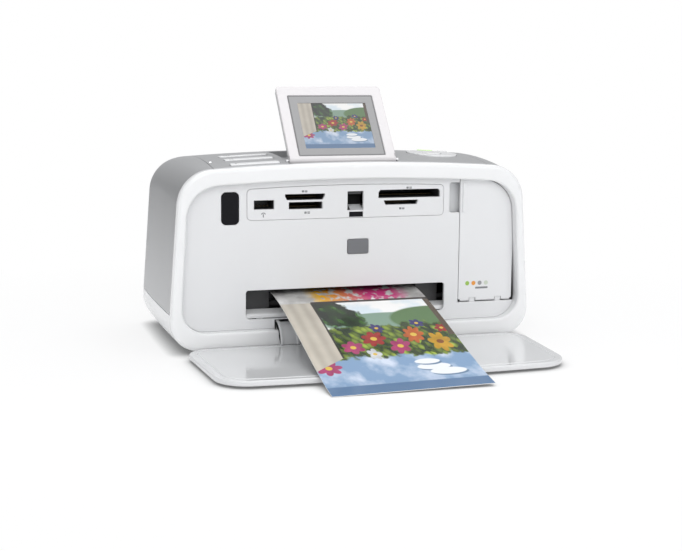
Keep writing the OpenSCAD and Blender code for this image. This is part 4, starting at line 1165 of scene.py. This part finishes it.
def lit_display(name):
    material, tree, shader = new_material(name)
    fill_node(tree, shader, Emission_Color=show_garden(tree), Emission_Strength=0.85,
              Base_Color=(0.02, 0.02, 0.022, 1), Roughness=0.12)
    return material


garden_paper = photo_paper("garden_paper")
garden_display = lit_display("garden_display")

# %% [markdown]
# ## Window and display
# The window is clear plastic printed grey on its back, so it reads as a glossy grey frame
# around the display. The display lies a little deeper. Its UV map covers the lower nine tenths
# of the garden, the part under the beam.

# %% Screen window and display
window_print = plastic("window_print", (0.235, 0.235, 0.24), 0.12, coat=0.8, drift=0.03)
frame_dark = plastic("window_rim", (0.12, 0.12, 0.125), 0.2, coat=0.5)
SHOWN_PART = 0.9


def picture_uv(piece, corner, across, along, printed=False):
    """Unwraps the piece flat: UV is the place along the two given edges of the picture"""
    mesh = piece.data
    layer = mesh.uv_layers.new(name="picture")
    sizes = (Vector(across).length_squared, Vector(along).length_squared)
    for loop in mesh.loops:
        way = mesh.vertices[loop.vertex_index].co / MM - Vector(corner)
        layer.data[loop.index].uv = (way.dot(Vector(across)) / sizes[0], way.dot(Vector(along)) / sizes[1])
    if printed:
        flag = mesh.attributes.new("printed", "FLOAT", "FACE")
        for face in mesh.polygons:
            flag.data[face.index].value = 1.0 if face.normal.z > 0.3 else 0.0
    return piece


window = plate("screen_window", *grown(GLASS, -0.1), half_t - 1.1, half_t - 0.25, 0.7)
carve(window, plate("view", *LIT, 0, 9, 0.4))
keep(tilted(soften(window, 0.12, 2)), "screen", window_print, "screen_glass")
rim = plate("window_dark_rim", *grown(GLASS, -0.1), half_t - 0.3, half_t - 0.21, 0.7)
carve(rim, plate("rim_view", *grown(GLASS, -0.9), 0, 9, 0.5))
keep(tilted(soften(rim, 0)), "screen", frame_dark)

x0, y0, x1, y1 = grown(LIT, -0.05)
display = block((x0, y0, half_t - 1.6), (x1, y1, half_t - 0.5), "screen_display")
picture_uv(display, (LIT[0], LIT[1], 0), (LIT[2] - LIT[0], 0, 0), (0, (LIT[3] - LIT[1]) / SHOWN_PART, 0))
keep(tilted(display), "screen", garden_display)
x0, y0, x1, y1 = grown(LIT, 1.6)
back_tray = block((x0, y0, half_t - 3.4), (x1, y1, half_t - 1.6), "display_back_tray")
keep(tilted(soften(back_tray, 0.2, 2)), "screen", zinc_sheet, "lcd_panel")
print("display", LIT, "in its window", GLASS)

# %% [markdown]
# ## The photo print
# One print is on its way out: its rear edge is still by the output roller, and its front hangs
# down over the tray to the table. The sheet is a thin curved strip along a smooth line through
# a few points, and its left front corner sags a little lower than the right one. When the tray
# closes, a user has taken the print away.

# %% Photo print
PRINT_HALF, SHEET_T = 50.8, 0.3
PRINT_X, PRINT_TURN, CORNER_LIFT = -4.1, 0.37, 0.85
PICTURE_RUN = 130.0
CURVE_STEPS = 6
SHEET_LINE = [(-125.5, 0.95), (-115.5, 2.9), (-105.5, 5.2), (-85.5, 10.6), (-65.5, 16.6), (-45.5, 22.5),
              (-25.5, 28.0), (-10.5, 31.8), (-0.5, 34.0), (9.5, 35.7), (16.5, 36.5), (23.2, 36.9)]


def smooth_curve(points):
    """More points between the given ones, on a Catmull-Rom curve"""
    padded = [points[0], *points, points[-1]]
    curve = []
    for a, b, c, d in zip(padded, padded[1:], padded[2:], padded[3:]):
        for i in range(CURVE_STEPS):
            t = i / CURVE_STEPS
            curve.append(tuple(0.5 * (2 * b[k] + (c[k] - a[k]) * t
                                      + (2 * a[k] - 5 * b[k] + 4 * c[k] - d[k]) * t * t
                                      + (3 * b[k] - a[k] - 3 * c[k] + d[k]) * t ** 3) for k in (0, 1)))
    return [*curve, points[-1]]


def askew(piece, front_y, length):
    """Twists the sheet a little towards its front and turns it into its place"""
    turn = Matrix.Rotation(math.radians(PRINT_TURN), 3, "Z")
    for vertex in piece.data.vertices:
        place = vertex.co / MM
        fade = max(0.0, 1 - (place.y - front_y) / length)
        place.z += CORNER_LIFT * place.x / PRINT_HALF * fade ** 2
        vertex.co = (turn @ place + Vector((PRINT_X, 0, 0))) * MM
    return piece


under = smooth_curve(SHEET_LINE)
over = [(y, z + SHEET_T) for y, z in under]
photo = soften(prism_x("photo_print", [*under, *reversed(over)], -PRINT_HALF, PRINT_HALF), 0)
tip_y = SHEET_LINE[0][0]
picture_uv(photo, (-PRINT_HALF, tip_y, 0), (2 * PRINT_HALF, 0, 0), (0, PICTURE_RUN, 0), True)
askew(photo, tip_y, PICTURE_RUN)
photo.data.materials.append(garden_paper)
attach(photo, "printer")
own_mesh(photo)
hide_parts("photo_print")
made.append(photo.name)
print(f"photo print: {sum(math.dist(a, b) for a, b in zip(under, under[1:])):.0f} mm long")

# %% [markdown]
# ## Buttons
# Eight buttons stand in holes of the top. Each cap follows the crowned top at a small height
# above it, so it is drawn as rings around its middle: a flange under the top, a straight wall,
# a rounded edge, and rings inwards whose height is that of the top's surface at each point.

# %% A button cap that follows the top
CAP_BOTTOM, FLANGE, EDGE = 117.4, 1.0, 0.45
CAP_STEPS, BAR_CORNER_R = 12, 0.9


def cap_outline(centre, hx, hy):
    """A circle, or a bar with small round corners"""
    x, y = centre
    if hx == hy:
        return arc(centre, hx, 0, 360 - 90 / CAP_STEPS, CAP_STEPS * 4 - 1)
    return rounded(x - hx, y - hy, x + hx, y + hy, BAR_CORNER_R, CAP_STEPS)


def shrunk(centre, hx, hy, by):
    """The outline moved inwards by a distance"""
    x, y = centre
    fx, fy = (hx - by) / hx, (hy - by) / hy
    return [(x + (px - x) * fx, y + (py - y) * fy) for px, py in cap_outline(centre, hx, hy)]


def button_cap(name, centre, hx, hy, proud, dish=0.0):
    wide = cap_outline(centre, hx + FLANGE, hy + FLANGE)
    body = cap_outline(centre, hx, hy)
    rings = [[(x, y, z) for x, y in outline] for outline, z in
             ((wide, CAP_BOTTOM), (wide, CAP_BOTTOM + 1), (body, CAP_BOTTOM + 1))]
    inner = min(hx, hy) - EDGE
    upper = [(EDGE * inward, EDGE * (1 - up)) for inward, up in quarter(4)]
    upper += [(EDGE + inner * share, dish * math.sin(share * math.pi / 2))
              for share in (0.25, 0.5, 0.75, 0.9)]
    for inset, drop in upper:
        rings.append([(x, y, surface_z(x, y) + proud - drop) for x, y in shrunk(centre, hx, hy, inset)])
    return loft(name, rings)


# %% The eight buttons
BUTTON_GAP = 0.15
BAR_PROUD, RING_PROUD, CAP_PROUD, LIT_PROUD = 0.55, 0.85, 0.7, 0.95
RING_SEAM = 1.4
for row, y in zip(BAR_ROWS, BARS_Y):
    bar = button_cap(f"bar_cap_{row}", (BAR_X, y), BAR_HX - BUTTON_GAP, BAR_HY - BUTTON_GAP, BAR_PROUD)
    keep(soften(bar, 0), f"bar_button_{row}", button_white, f"bar_button_{row}")

ring_cap = button_cap("navigation_ring_cap", NAV, NAV_R, NAV_R, RING_PROUD, dish=0.35)
carve(ring_cap, through_top(*NAV, OK_R + RING_SEAM))
keep(soften(ring_cap, 0.25, 2), "nav_ring", button_white, "nav_ring")
keep(soften(button_cap("ok_cap", NAV, OK_R, OK_R, CAP_PROUD), 0), "ok_button", button_white, "ok_button")
for body, (x, y, r) in ROUND_BUTTONS.items():
    finish, proud = (green_light, LIT_PROUD) if body == "print_button" else (button_white, CAP_PROUD)
    keep(soften(button_cap(f"{body}_cap", (x, y), r, r, proud, dish=0.2), 0), body, finish, body)

# %% [markdown]
# Small marks tell the buttons apart. They are plain generic shapes printed in grey on the caps:
# four arrow heads on the ring, a small square, an upright dash, and one to three strokes on
# the bars.

# %% Marks on the top
MARK_T, MARK_DEPTH = 0.05, 0.3
ON_CAP, ON_BAR = 0.6, 0.56


def on_top(name, outline, proud, body):
    """A thin printed shape that lies on the top's surface or on a cap"""
    rings = [[(x, y, surface_z(x, y) + proud + lift) for x, y in outline] for lift in (-MARK_DEPTH, MARK_T)]
    return keep(soften(loft(name, rings), 0), body, mark_grey)


def around_ring(radius, degrees):
    a = math.radians(degrees)
    return (NAV[0] + radius * math.cos(a), NAV[1] + radius * math.sin(a))


for number, angle in enumerate((0, 90, 180, 270)):
    arrow = [around_ring(r, angle + turn) for r, turn in ((14.0, 0), (12.2, 7), (12.2, -7))]
    on_top(f"arrow_mark_{number}", arrow, RING_PROUD - 0.2, "nav_ring")
on_top("stop_mark", rounded(42.9, 68.9, 45.1, 71.1, 0.3), ON_CAP, "cancel_button")
on_top("power_mark", rounded(87.7, 74.6, 88.3, 77.4, 0.25), ON_CAP, "power_button")
for number, (row, y) in enumerate(zip(BAR_ROWS, BARS_Y)):
    for k in range(number + 1):
        x = BAR_X - 13 + 1.6 * k
        stroke = rounded(x, y - 0.9, x + 0.8, y + 0.9, 0.2)
        on_top(f"bar_mark_{row}_{k}", stroke, ON_BAR, f"bar_button_{row}")
led = button_cap("status_lamp", STATUS_LAMP, 0.85, 0.84, 0.35)
keep(soften(led, 0), "printer", white_light, "status_led")
print("buttons and marks:", len([n for n in made if "cap" in n or "mark" in n]))

# %% [markdown]
# ## Latch, slots and windows
# Behind each card mouth stands a dark socket with a row of dull gold contacts. The contacts are
# one small spring repeated along a line by Geometry Nodes, then turned into a plain mesh. The
# tray's latch is a dark catch behind its hole, with the ramp that guides the hook.

# %% A row of instances
def row_of(name, item, count, step, start, material):
    """Repeats the item along a line with Geometry Nodes and returns one plain mesh"""
    group = bpy.data.node_groups.new(f"{name}_row", "GeometryNodeTree")
    kinds = {"Geometry": "Geometry", "Count": "Int", "Step": "Vector", "Item": "Object",
             "Material": "Material"}
    for label, kind in kinds.items():
        group.interface.new_socket(label, in_out="INPUT", socket_type=f"NodeSocket{kind}")
    group.interface.new_socket("Geometry", in_out="OUTPUT", socket_type="NodeSocketGeometry")
    inside, outside = group.nodes.new("NodeGroupInput"), group.nodes.new("NodeGroupOutput")
    line = group.nodes.new("GeometryNodeMeshLine")
    fill_node(group, line, 0, Count=inside.outputs["Count"], Offset=inside.outputs["Step"],
              Start_Location=tuple(Vector(start) * MM))
    info = group.nodes.new("GeometryNodeObjectInfo")
    group.links.new(inside.outputs["Item"], info.inputs["Object"])
    copies = add_node(group, "GeometryNodeInstanceOnPoints", Points=line.outputs[0],
                      Instance=info.outputs["Geometry"])
    real = add_node(group, "GeometryNodeRealizeInstances", Geometry=copies)
    coloured = add_node(group, "GeometryNodeSetMaterial", Geometry=real, Material=inside.outputs["Material"])
    group.links.new(coloured, outside.inputs[0])
    piece = mesh_object(name, [(0, 0, 0), (1, 0, 0), (0, 1, 0)], [(0, 1, 2)])
    repeat = piece.modifiers.new("repeat", "NODES")
    repeat.node_group = group
    values = {"Count": count, "Step": tuple(Vector(step) * MM), "Item": item, "Material": material}
    for socket in group.interface.items_tree:
        if socket.in_out == "INPUT" and socket.name in values:
            repeat[socket.identifier] = values[socket.name]
    bake(piece)
    bpy.data.objects.remove(item)
    return piece


def place_row(piece, body, *replaced):
    """Flat faces, and the body that the row rides on"""
    for face in piece.data.polygons:
        face.use_smooth = False
    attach(piece, body)
    if replaced:
        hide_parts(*replaced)
    made.append(piece.name)


# %% Contacts in the card sockets
CONTACT_ROWS = {"narrow_card_contacts": (22, 1.0, (-44.0, 17.0, 93.5)),
                "upper_card_contacts": (20, 1.15, (-45.5, 19.0, 99.6)),
                "wide_card_contacts": (36, 1.15, (18.5, 20.0, 99.6)),
                "small_card_contacts": (18, 1.1, (23.0, 16.0, 94.9)),
                "camera_contacts": (4, 2.4, (-65.6, 12.0, 94.8))}
SPRING_PROFILE = [(0, 0), (9, 0), (9, 0.5), (1.2, 0.5), (0.4, 0.9), (0, 0.7)]
SPRING_W = 0.45
for name, (count, step, start) in CONTACT_ROWS.items():
    spring = prism_x("spring", SPRING_PROFILE, 0, SPRING_W)
    place_row(row_of(name, spring, count, (step, 0, 0), start, gold_pin), "printer")
print(sum(row[0] for row in CONTACT_ROWS.values()), "contacts")

# %% Tray latch
latch = block((-4.2, PANEL_BACK + 0.3, 101.8), (5.7, 14.4, 103.6), "tray_latch_catch")
join_to(latch, block((-3.0, 12, 101.8), (4.6, 14.4, 110)))
keep(soften(latch, 0.3), "tray_latch", latch_grey, "tray_latch")
ramp_block = prism_x("latch_ramp", [(RECESS_D + 0.6, 91.4), (PANEL_BACK + 4.8, 91.4),
                                    (PANEL_BACK + 4.8, 94.6)], -2.6, 6.29)
keep(soften(ramp_block, 0.15, 2), "printer", lip_grey)
# Painted shade: a near-black back and walls in the hollow behind the latch stand for the shade deep inside
# it
hollow = block((-4.8, PANEL_BACK + 5.3, 91.0), (6.3, PANEL_BACK + 6.0, 104.4), "latch_hollow")
keep(hollow, "printer", hole_black)
hollow_walls = [block((-4.79, RECESS_D + 0.5, 91.42), (-4.66, PANEL_BACK + 5.3, 103.98), "latch_lining"),
                block((-4.79, RECESS_D + 0.5, 103.85), (4.4, PANEL_BACK + 2.2, 103.98))]
join_to(*hollow_walls)
keep(hollow_walls[0], "printer", hole_black)

# %% Painted shade in the notch, and a small window
small_window = upright("latch_window", grown(LATCH_WINDOW, -0.05), RECESS_D + 0.45, RECESS_D + 1.0)
keep(soften(small_window, 0.2, 2), "printer", window_black)
# Painted shade: a darker grey sheet on the floor of the finger notch
notch_lining = upright("notch_lining", grown(NOTCH, -0.05), PANEL_BACK + 3.35, PANEL_BACK + 3.62)
keep(notch_lining, "printer", lip_grey)
print("latch, windows and linings in place")

# %% [markdown]
# ## Small printed signs
# Beside the slots the real panel carries tiny signs. Here they are generic: a little outline of
# a card above or below each mouth, and a plug near the camera port. The cartridge door gets a
# row of four colour dots, like ink colours, and nothing that could be read.

# %% Card signs and colour dots
SIGN_Y, SIGN_T = RECESS_D - 0.03, 0.4


def sign(name, outline, body="printer"):
    return keep(soften(prism_y(name, outline, SIGN_Y, SIGN_Y + SIGN_T), 0), body, mark_grey)


for number, (x, z) in enumerate(((-34.4, 104.7), (-32.6, 90.6), (38.4, 105.6), (33.4, 91.8))):
    sign(f"card_sign_{number}_a", rounded(x - 1.9, z - 0.7, x - 0.3, z + 0.7, 0.2, 3))
    sign(f"card_sign_{number}_b", rounded(x + 0.1, z - 0.7, x + 1.9, z + 0.1, 0.15, 3))
    sign(f"card_sign_{number}_c", rounded(x + 0.1, z + 0.35, x + 1.9, z + 0.7, 0.1, 3))
sign("plug_sign_stem", rounded(-62.6, 88.2, -61.9, 90.4, 0.2, 3))
sign("plug_sign_arch", arc((-62.2, 89.7), 1.7, 20, 160, 10) + arc((-62.2, 89.7), 1.1, 160, 20, 10))
DOTS = {"green": (0.30, 0.50, 0.08), "orange": (0.75, 0.30, 0.04),
        "grey": (0.30, 0.30, 0.31), "pale": (0.55, 0.60, 0.50)}
DOT_X, DOT_STEP, DOT_Z, DOT_R = 82.0, 4.6, 38.6, 1.5
for number, (label, colour) in enumerate(DOTS.items()):
    circle = arc((DOT_X + DOT_STEP * number, DOT_Z), DOT_R, 0, 350, 35)
    dot = prism_y(f"ink_dot_{label}", circle, SIGN_Y, SIGN_Y + SIGN_T)
    keep(soften(dot, 0), "cartridge_door", plastic(f"dot_{label}", colour, 0.4))
sign("ink_dash", rounded(88.0, 34.6, 97.2, 35.9, 0.3, 3), "cartridge_door")

# %% [markdown]
# ## Behind the paper slot
# The slot shows a dark hollow with a grey lip below and the rounded end pieces of the paper
# guides at both ends. The lip is part of the exit chute.

# %% Exit chute and side guides
CHUTE = [(9.9, 20.8), (12.4, 20.8), (12.4, 22.2), (17.8, 23.8), (17.8, 25.7), (11, 24), (9.9, 23)]
chute = prism_x("exit_chute_lip", CHUTE, -90.8, 70.0)
for x in (-66, 64):
    join_to(chute, block((x, 10.2, ground_gap + WALL), (x + 4, 12.2, 21.5)))
keep(soften(chute, 0.35), "printer", chute_grey, "exit_chute")
for side, x0, x1 in (("left", -73.8, -55.5), ("right", 48.0, 64.0)):
    guide_end = prism_y(f"paper_guide_end_{side}", rounded(x0, 24.2, x1, 41, 2.5), 18.4, 19.6)
    keep(soften(guide_end, 0.3, 2), "printer", guide_black)
print(chute.name, len(chute.data.polygons), "faces")

# %% [markdown]
# ## Paper door fittings, feet and screws
# The rear door carries a sliding extender with two windows and a guide that the fingers push
# against the paper. Four rubber feet with a ring of grip ribs hold the printer on the table, and
# six screw heads close the base.

# %% Extender and width guide
extender = block((-40.2, DOOR_Y + 2.15, 70.8), (40.2, body_d - 3.4, 119.8), "paper_extender_plate")
carve(extender, *[prism_y("window", rounded(x0, 78, x0 + 22, 106, 2), 0, FAR) for x0 in (-28, 6)])
keep(soften(extender, 0.3), "extender", rear_matt, "extender")
guide = block((52.6, DOOR_Y - 5, 84), (54.6, DOOR_Y - 0.3, 112), "width_guide_blade")
join_to(guide, block((51, DOOR_Y - 1.6, 84), (57, DOOR_Y - 0.3, 112)),
        block((52, DOOR_Y - 0.4, 96), (56, DOOR_Y + 1.7, 99)))
keep(soften(guide, 0.25), "width_guide", lip_grey, "width_guide")

# %% Feet
FEET = [(-98, 22), (98, 22), (-98, 102), (98, 102)]
FOOT_PROFILE = [(6.0, ground_gap), (6.0, 0.6), (5.5, 0.05), (4.9, 0.0), (4.5, 0.35), (3.6, 0.35),
                (3.2, 0.0), (0.6, 0.0)]
FOOT_STEPS = 48


def foot(number, place):
    x, y = place
    turns = [2 * math.pi * i / FOOT_STEPS for i in range(FOOT_STEPS)]
    return loft(f"foot_{number}", [[(x + r * math.cos(t), y + r * math.sin(t), z) for t in turns]
                                   for r, z in FOOT_PROFILE])


feet = [foot(n, place) for n, place in enumerate(FEET)]
for piece in feet:
    keep(soften(piece, 0), "printer", foot_rubber)
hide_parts("feet")

# %% Screws
SCREW_X, SCREW_Y = (-70, 30, 90), (37, body_d - 26)
for x in SCREW_X:
    for y in SCREW_Y:
        head = rod((x, y, 0.9), (x, y, ground_gap), 3.0, f"case_screw_{x}_{y:.0f}", 48)
        carve(head, rod((x, y, 0), (x, y, 1.7), 1.15, steps=6))
        keep(soften(head, 0.25, 3), "printer", ground_steel)
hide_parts("case_screws")

# %% [markdown]
# ## Sockets at the back
# The power inlet and the data socket are both square mouths in the rear's lower right corner,
# seen from the front. Each gets its own tongue or pins inside.

# %% Rear sockets
def socket(name, x0, x1, material, node):
    shell_box = block((x0, body_d - 14, 13.2), (x1, body_d - 0.6, 24.8), name)
    carve(shell_box, prism_y("mouth", rounded(x0 + 1.8, 15, x1 - 1.8, 23, 0.8), body_d - 12, FAR))
    return keep(soften(shell_box, 0.3), "printer", material, node)


socket("power_inlet_shell", 83.2, 95.8, slot_black, "power_inlet")
socket("data_socket_shell", 69.2, 80.8, zinc_sheet, "rear_usb_socket")
for number, x in enumerate((87.4, 91.6)):
    keep(soften(rod((x, body_d - 12.5, 19), (x, body_d - 5, 19), 0.9, f"power_pin_{number}", 24), 0.3, 2),
         "printer", ground_steel)
tongue = block((73.2, body_d - 12.5, 17.8), (76.8, body_d - 4.5, 20.2), "data_socket_tongue")
keep(soften(tongue, 0.3, 2), "printer", nylon)

# %% [markdown]
# ## Finishes for the mechanism
# The mechanism's plain pieces keep their meshes. Each one gets the finish that its real
# counterpart has, on every material slot that it shows.

# %% Mechanism finishes
FINISHES = {
    "card_sockets": slot_black, "card_reader_board": board_green, "hinge_pins": ground_steel,
    "control_board": board_green, "main_board": board_green, "chassis": zinc_sheet,
    "input_chute": dark_inside, "platen": dark_inside, "service_station": dark_inside,
    "carriage_rod": ground_steel, "carriage": dark_inside, "ink_cartridge": slot_black,
    "drive_belt": roller_rubber, "drive_pulley": nylon, "idler_pulley": nylon,
    "carriage_motor": zinc_sheet, "encoder_strip": film, "feed_roller": roller_rubber,
    "feed_gear": nylon, "feed_motor": zinc_sheet, "feed_pinion": nylon, "pinch_rollers": lip_grey,
    "output_roller": roller_rubber, "idler_gear": nylon, "pick_roller": roller_rubber}
for node, finish in FINISHES.items():
    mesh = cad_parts[node].data
    for number in range(max(1, len(mesh.materials))):
        if len(mesh.materials) > number:
            mesh.materials[number] = finish
        else:
            mesh.materials.append(finish)
shown = [n for n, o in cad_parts.items() if not o.hide_render]
print("plain pieces with a finish:", len(FINISHES), "shown:", len(shown), sorted(set(shown) - set(FINISHES)))

# %% [markdown]
# ## The studio
# The printer stands on a pale plain floor that fades into a white background. Four soft lamps
# light it: one high on the left, a wide one overhead, one from the right that opens the shadows,
# and a low weak one that lifts the foot of the left side. The camera sees pure white behind the
# floor, while the pieces get a weaker even light from there, so the pale shells keep their tone.

# %% Background
WORLD_LIGHT, BACKGROUND_WHITE = 0.55, 1.0


def studio_world():
    """White to the camera and through clear pieces, a softer even light for everything else"""
    world = bpy.data.worlds.new("studio_world")
    world.use_nodes = True
    tree = world.node_tree
    tree.nodes.clear()
    path = tree.nodes.new("ShaderNodeLightPath")
    seen = maths(tree, "ADD", path.outputs["Is Camera Ray"], path.outputs["Is Transmission Ray"], True)
    light = add_node(tree, "ShaderNodeBackground", Color=(0.97, 0.98, 1.0, 1), Strength=WORLD_LIGHT)
    white = add_node(tree, "ShaderNodeBackground", Color=(1, 1, 1, 1), Strength=BACKGROUND_WHITE)
    mixed = add_node(tree, "ShaderNodeMixShader", i0=seen, i1=light, i2=white)
    add_node(tree, "ShaderNodeOutputWorld", Surface=mixed)
    scene.world = world


# %% Floor
FLOOR_HALF, FLOOR_T = 6000, 20
FLOOR_FADE, FLOOR_LIFT = (0.16, 0.42), 0.66
CONTACT_SHADOW_REACH = 0.012


def studio_floor():
    """A wide sheet: near the printer it takes the shadow, farther away it fades into pure white.
    Close under an edge the fading white carries a painted contact shadow from an occlusion node."""
    floor = block((-FLOOR_HALF, -FLOOR_HALF, -FLOOR_T), (FLOOR_HALF, FLOOR_HALF, 0), "studio_floor")
    material, tree, shader = new_material("floor_white")
    fill_node(tree, shader, Base_Color=(0.90, 0.90, 0.90, 1), Roughness=0.7, Specular_IOR_Level=0.2)
    path = tree.nodes.new("ShaderNodeLightPath")
    distance = vector_maths(tree, "LENGTH", 1, i0=object_place(tree))
    away = ramp(tree, distance, *FLOOR_FADE, FLOOR_LIFT, 1.0)
    # Painted contact shadow: the emitted white darkens where occlusion finds an edge close above
    contact = add_node(tree, "ShaderNodeAmbientOcclusion", Distance=CONTACT_SHADOW_REACH, outputs=1)
    painted_contact_shadow = ramp(tree, contact, 0.25, 0.95, 0.15, 1.0)
    white = add_node(tree, "ShaderNodeEmission", Color=(1, 1, 1, 1), Strength=painted_contact_shadow)
    seen = times(tree, away, path.outputs["Is Camera Ray"])
    mixed = add_node(tree, "ShaderNodeMixShader", i0=seen, i1=shader.outputs[0], i2=white)
    tree.links.new(mixed, tree.nodes["Material Output"].inputs[0])
    floor.data.materials.append(material)
    return floor


studio_world()
floor = studio_floor()

# %% Lamps: place in millimetres, width in millimetres and watts
LAMPS = {"key_left": ((-450, -1300, 900), 1000, 6.5), "overhead": ((100, 250, 1400), 1400, 11.0),
         "front_fill": ((600, -1300, 600), 1200, 5.0), "low_left": ((-560, -120, 40), 260, 0.2)}
AIM = Vector((0, 0, 60))


def lamp(name, place, size, watts):
    light = bpy.data.lights.new(name, "AREA")
    light.size, light.energy = size * MM, watts
    holder = bpy.data.objects.new(name, light)
    scene.collection.objects.link(holder)
    holder.location = Vector(place) * MM
    aim = AIM * MM - holder.location
    holder.rotation_euler = aim.to_track_quat("-Z", "Y").to_euler()
    return holder


for name, (place, size, watts) in LAMPS.items():
    lamp(name, place, size, watts)
scene.view_settings.view_transform = "Standard"
print(len(LAMPS), "lamps,", len(made), "dressed pieces")
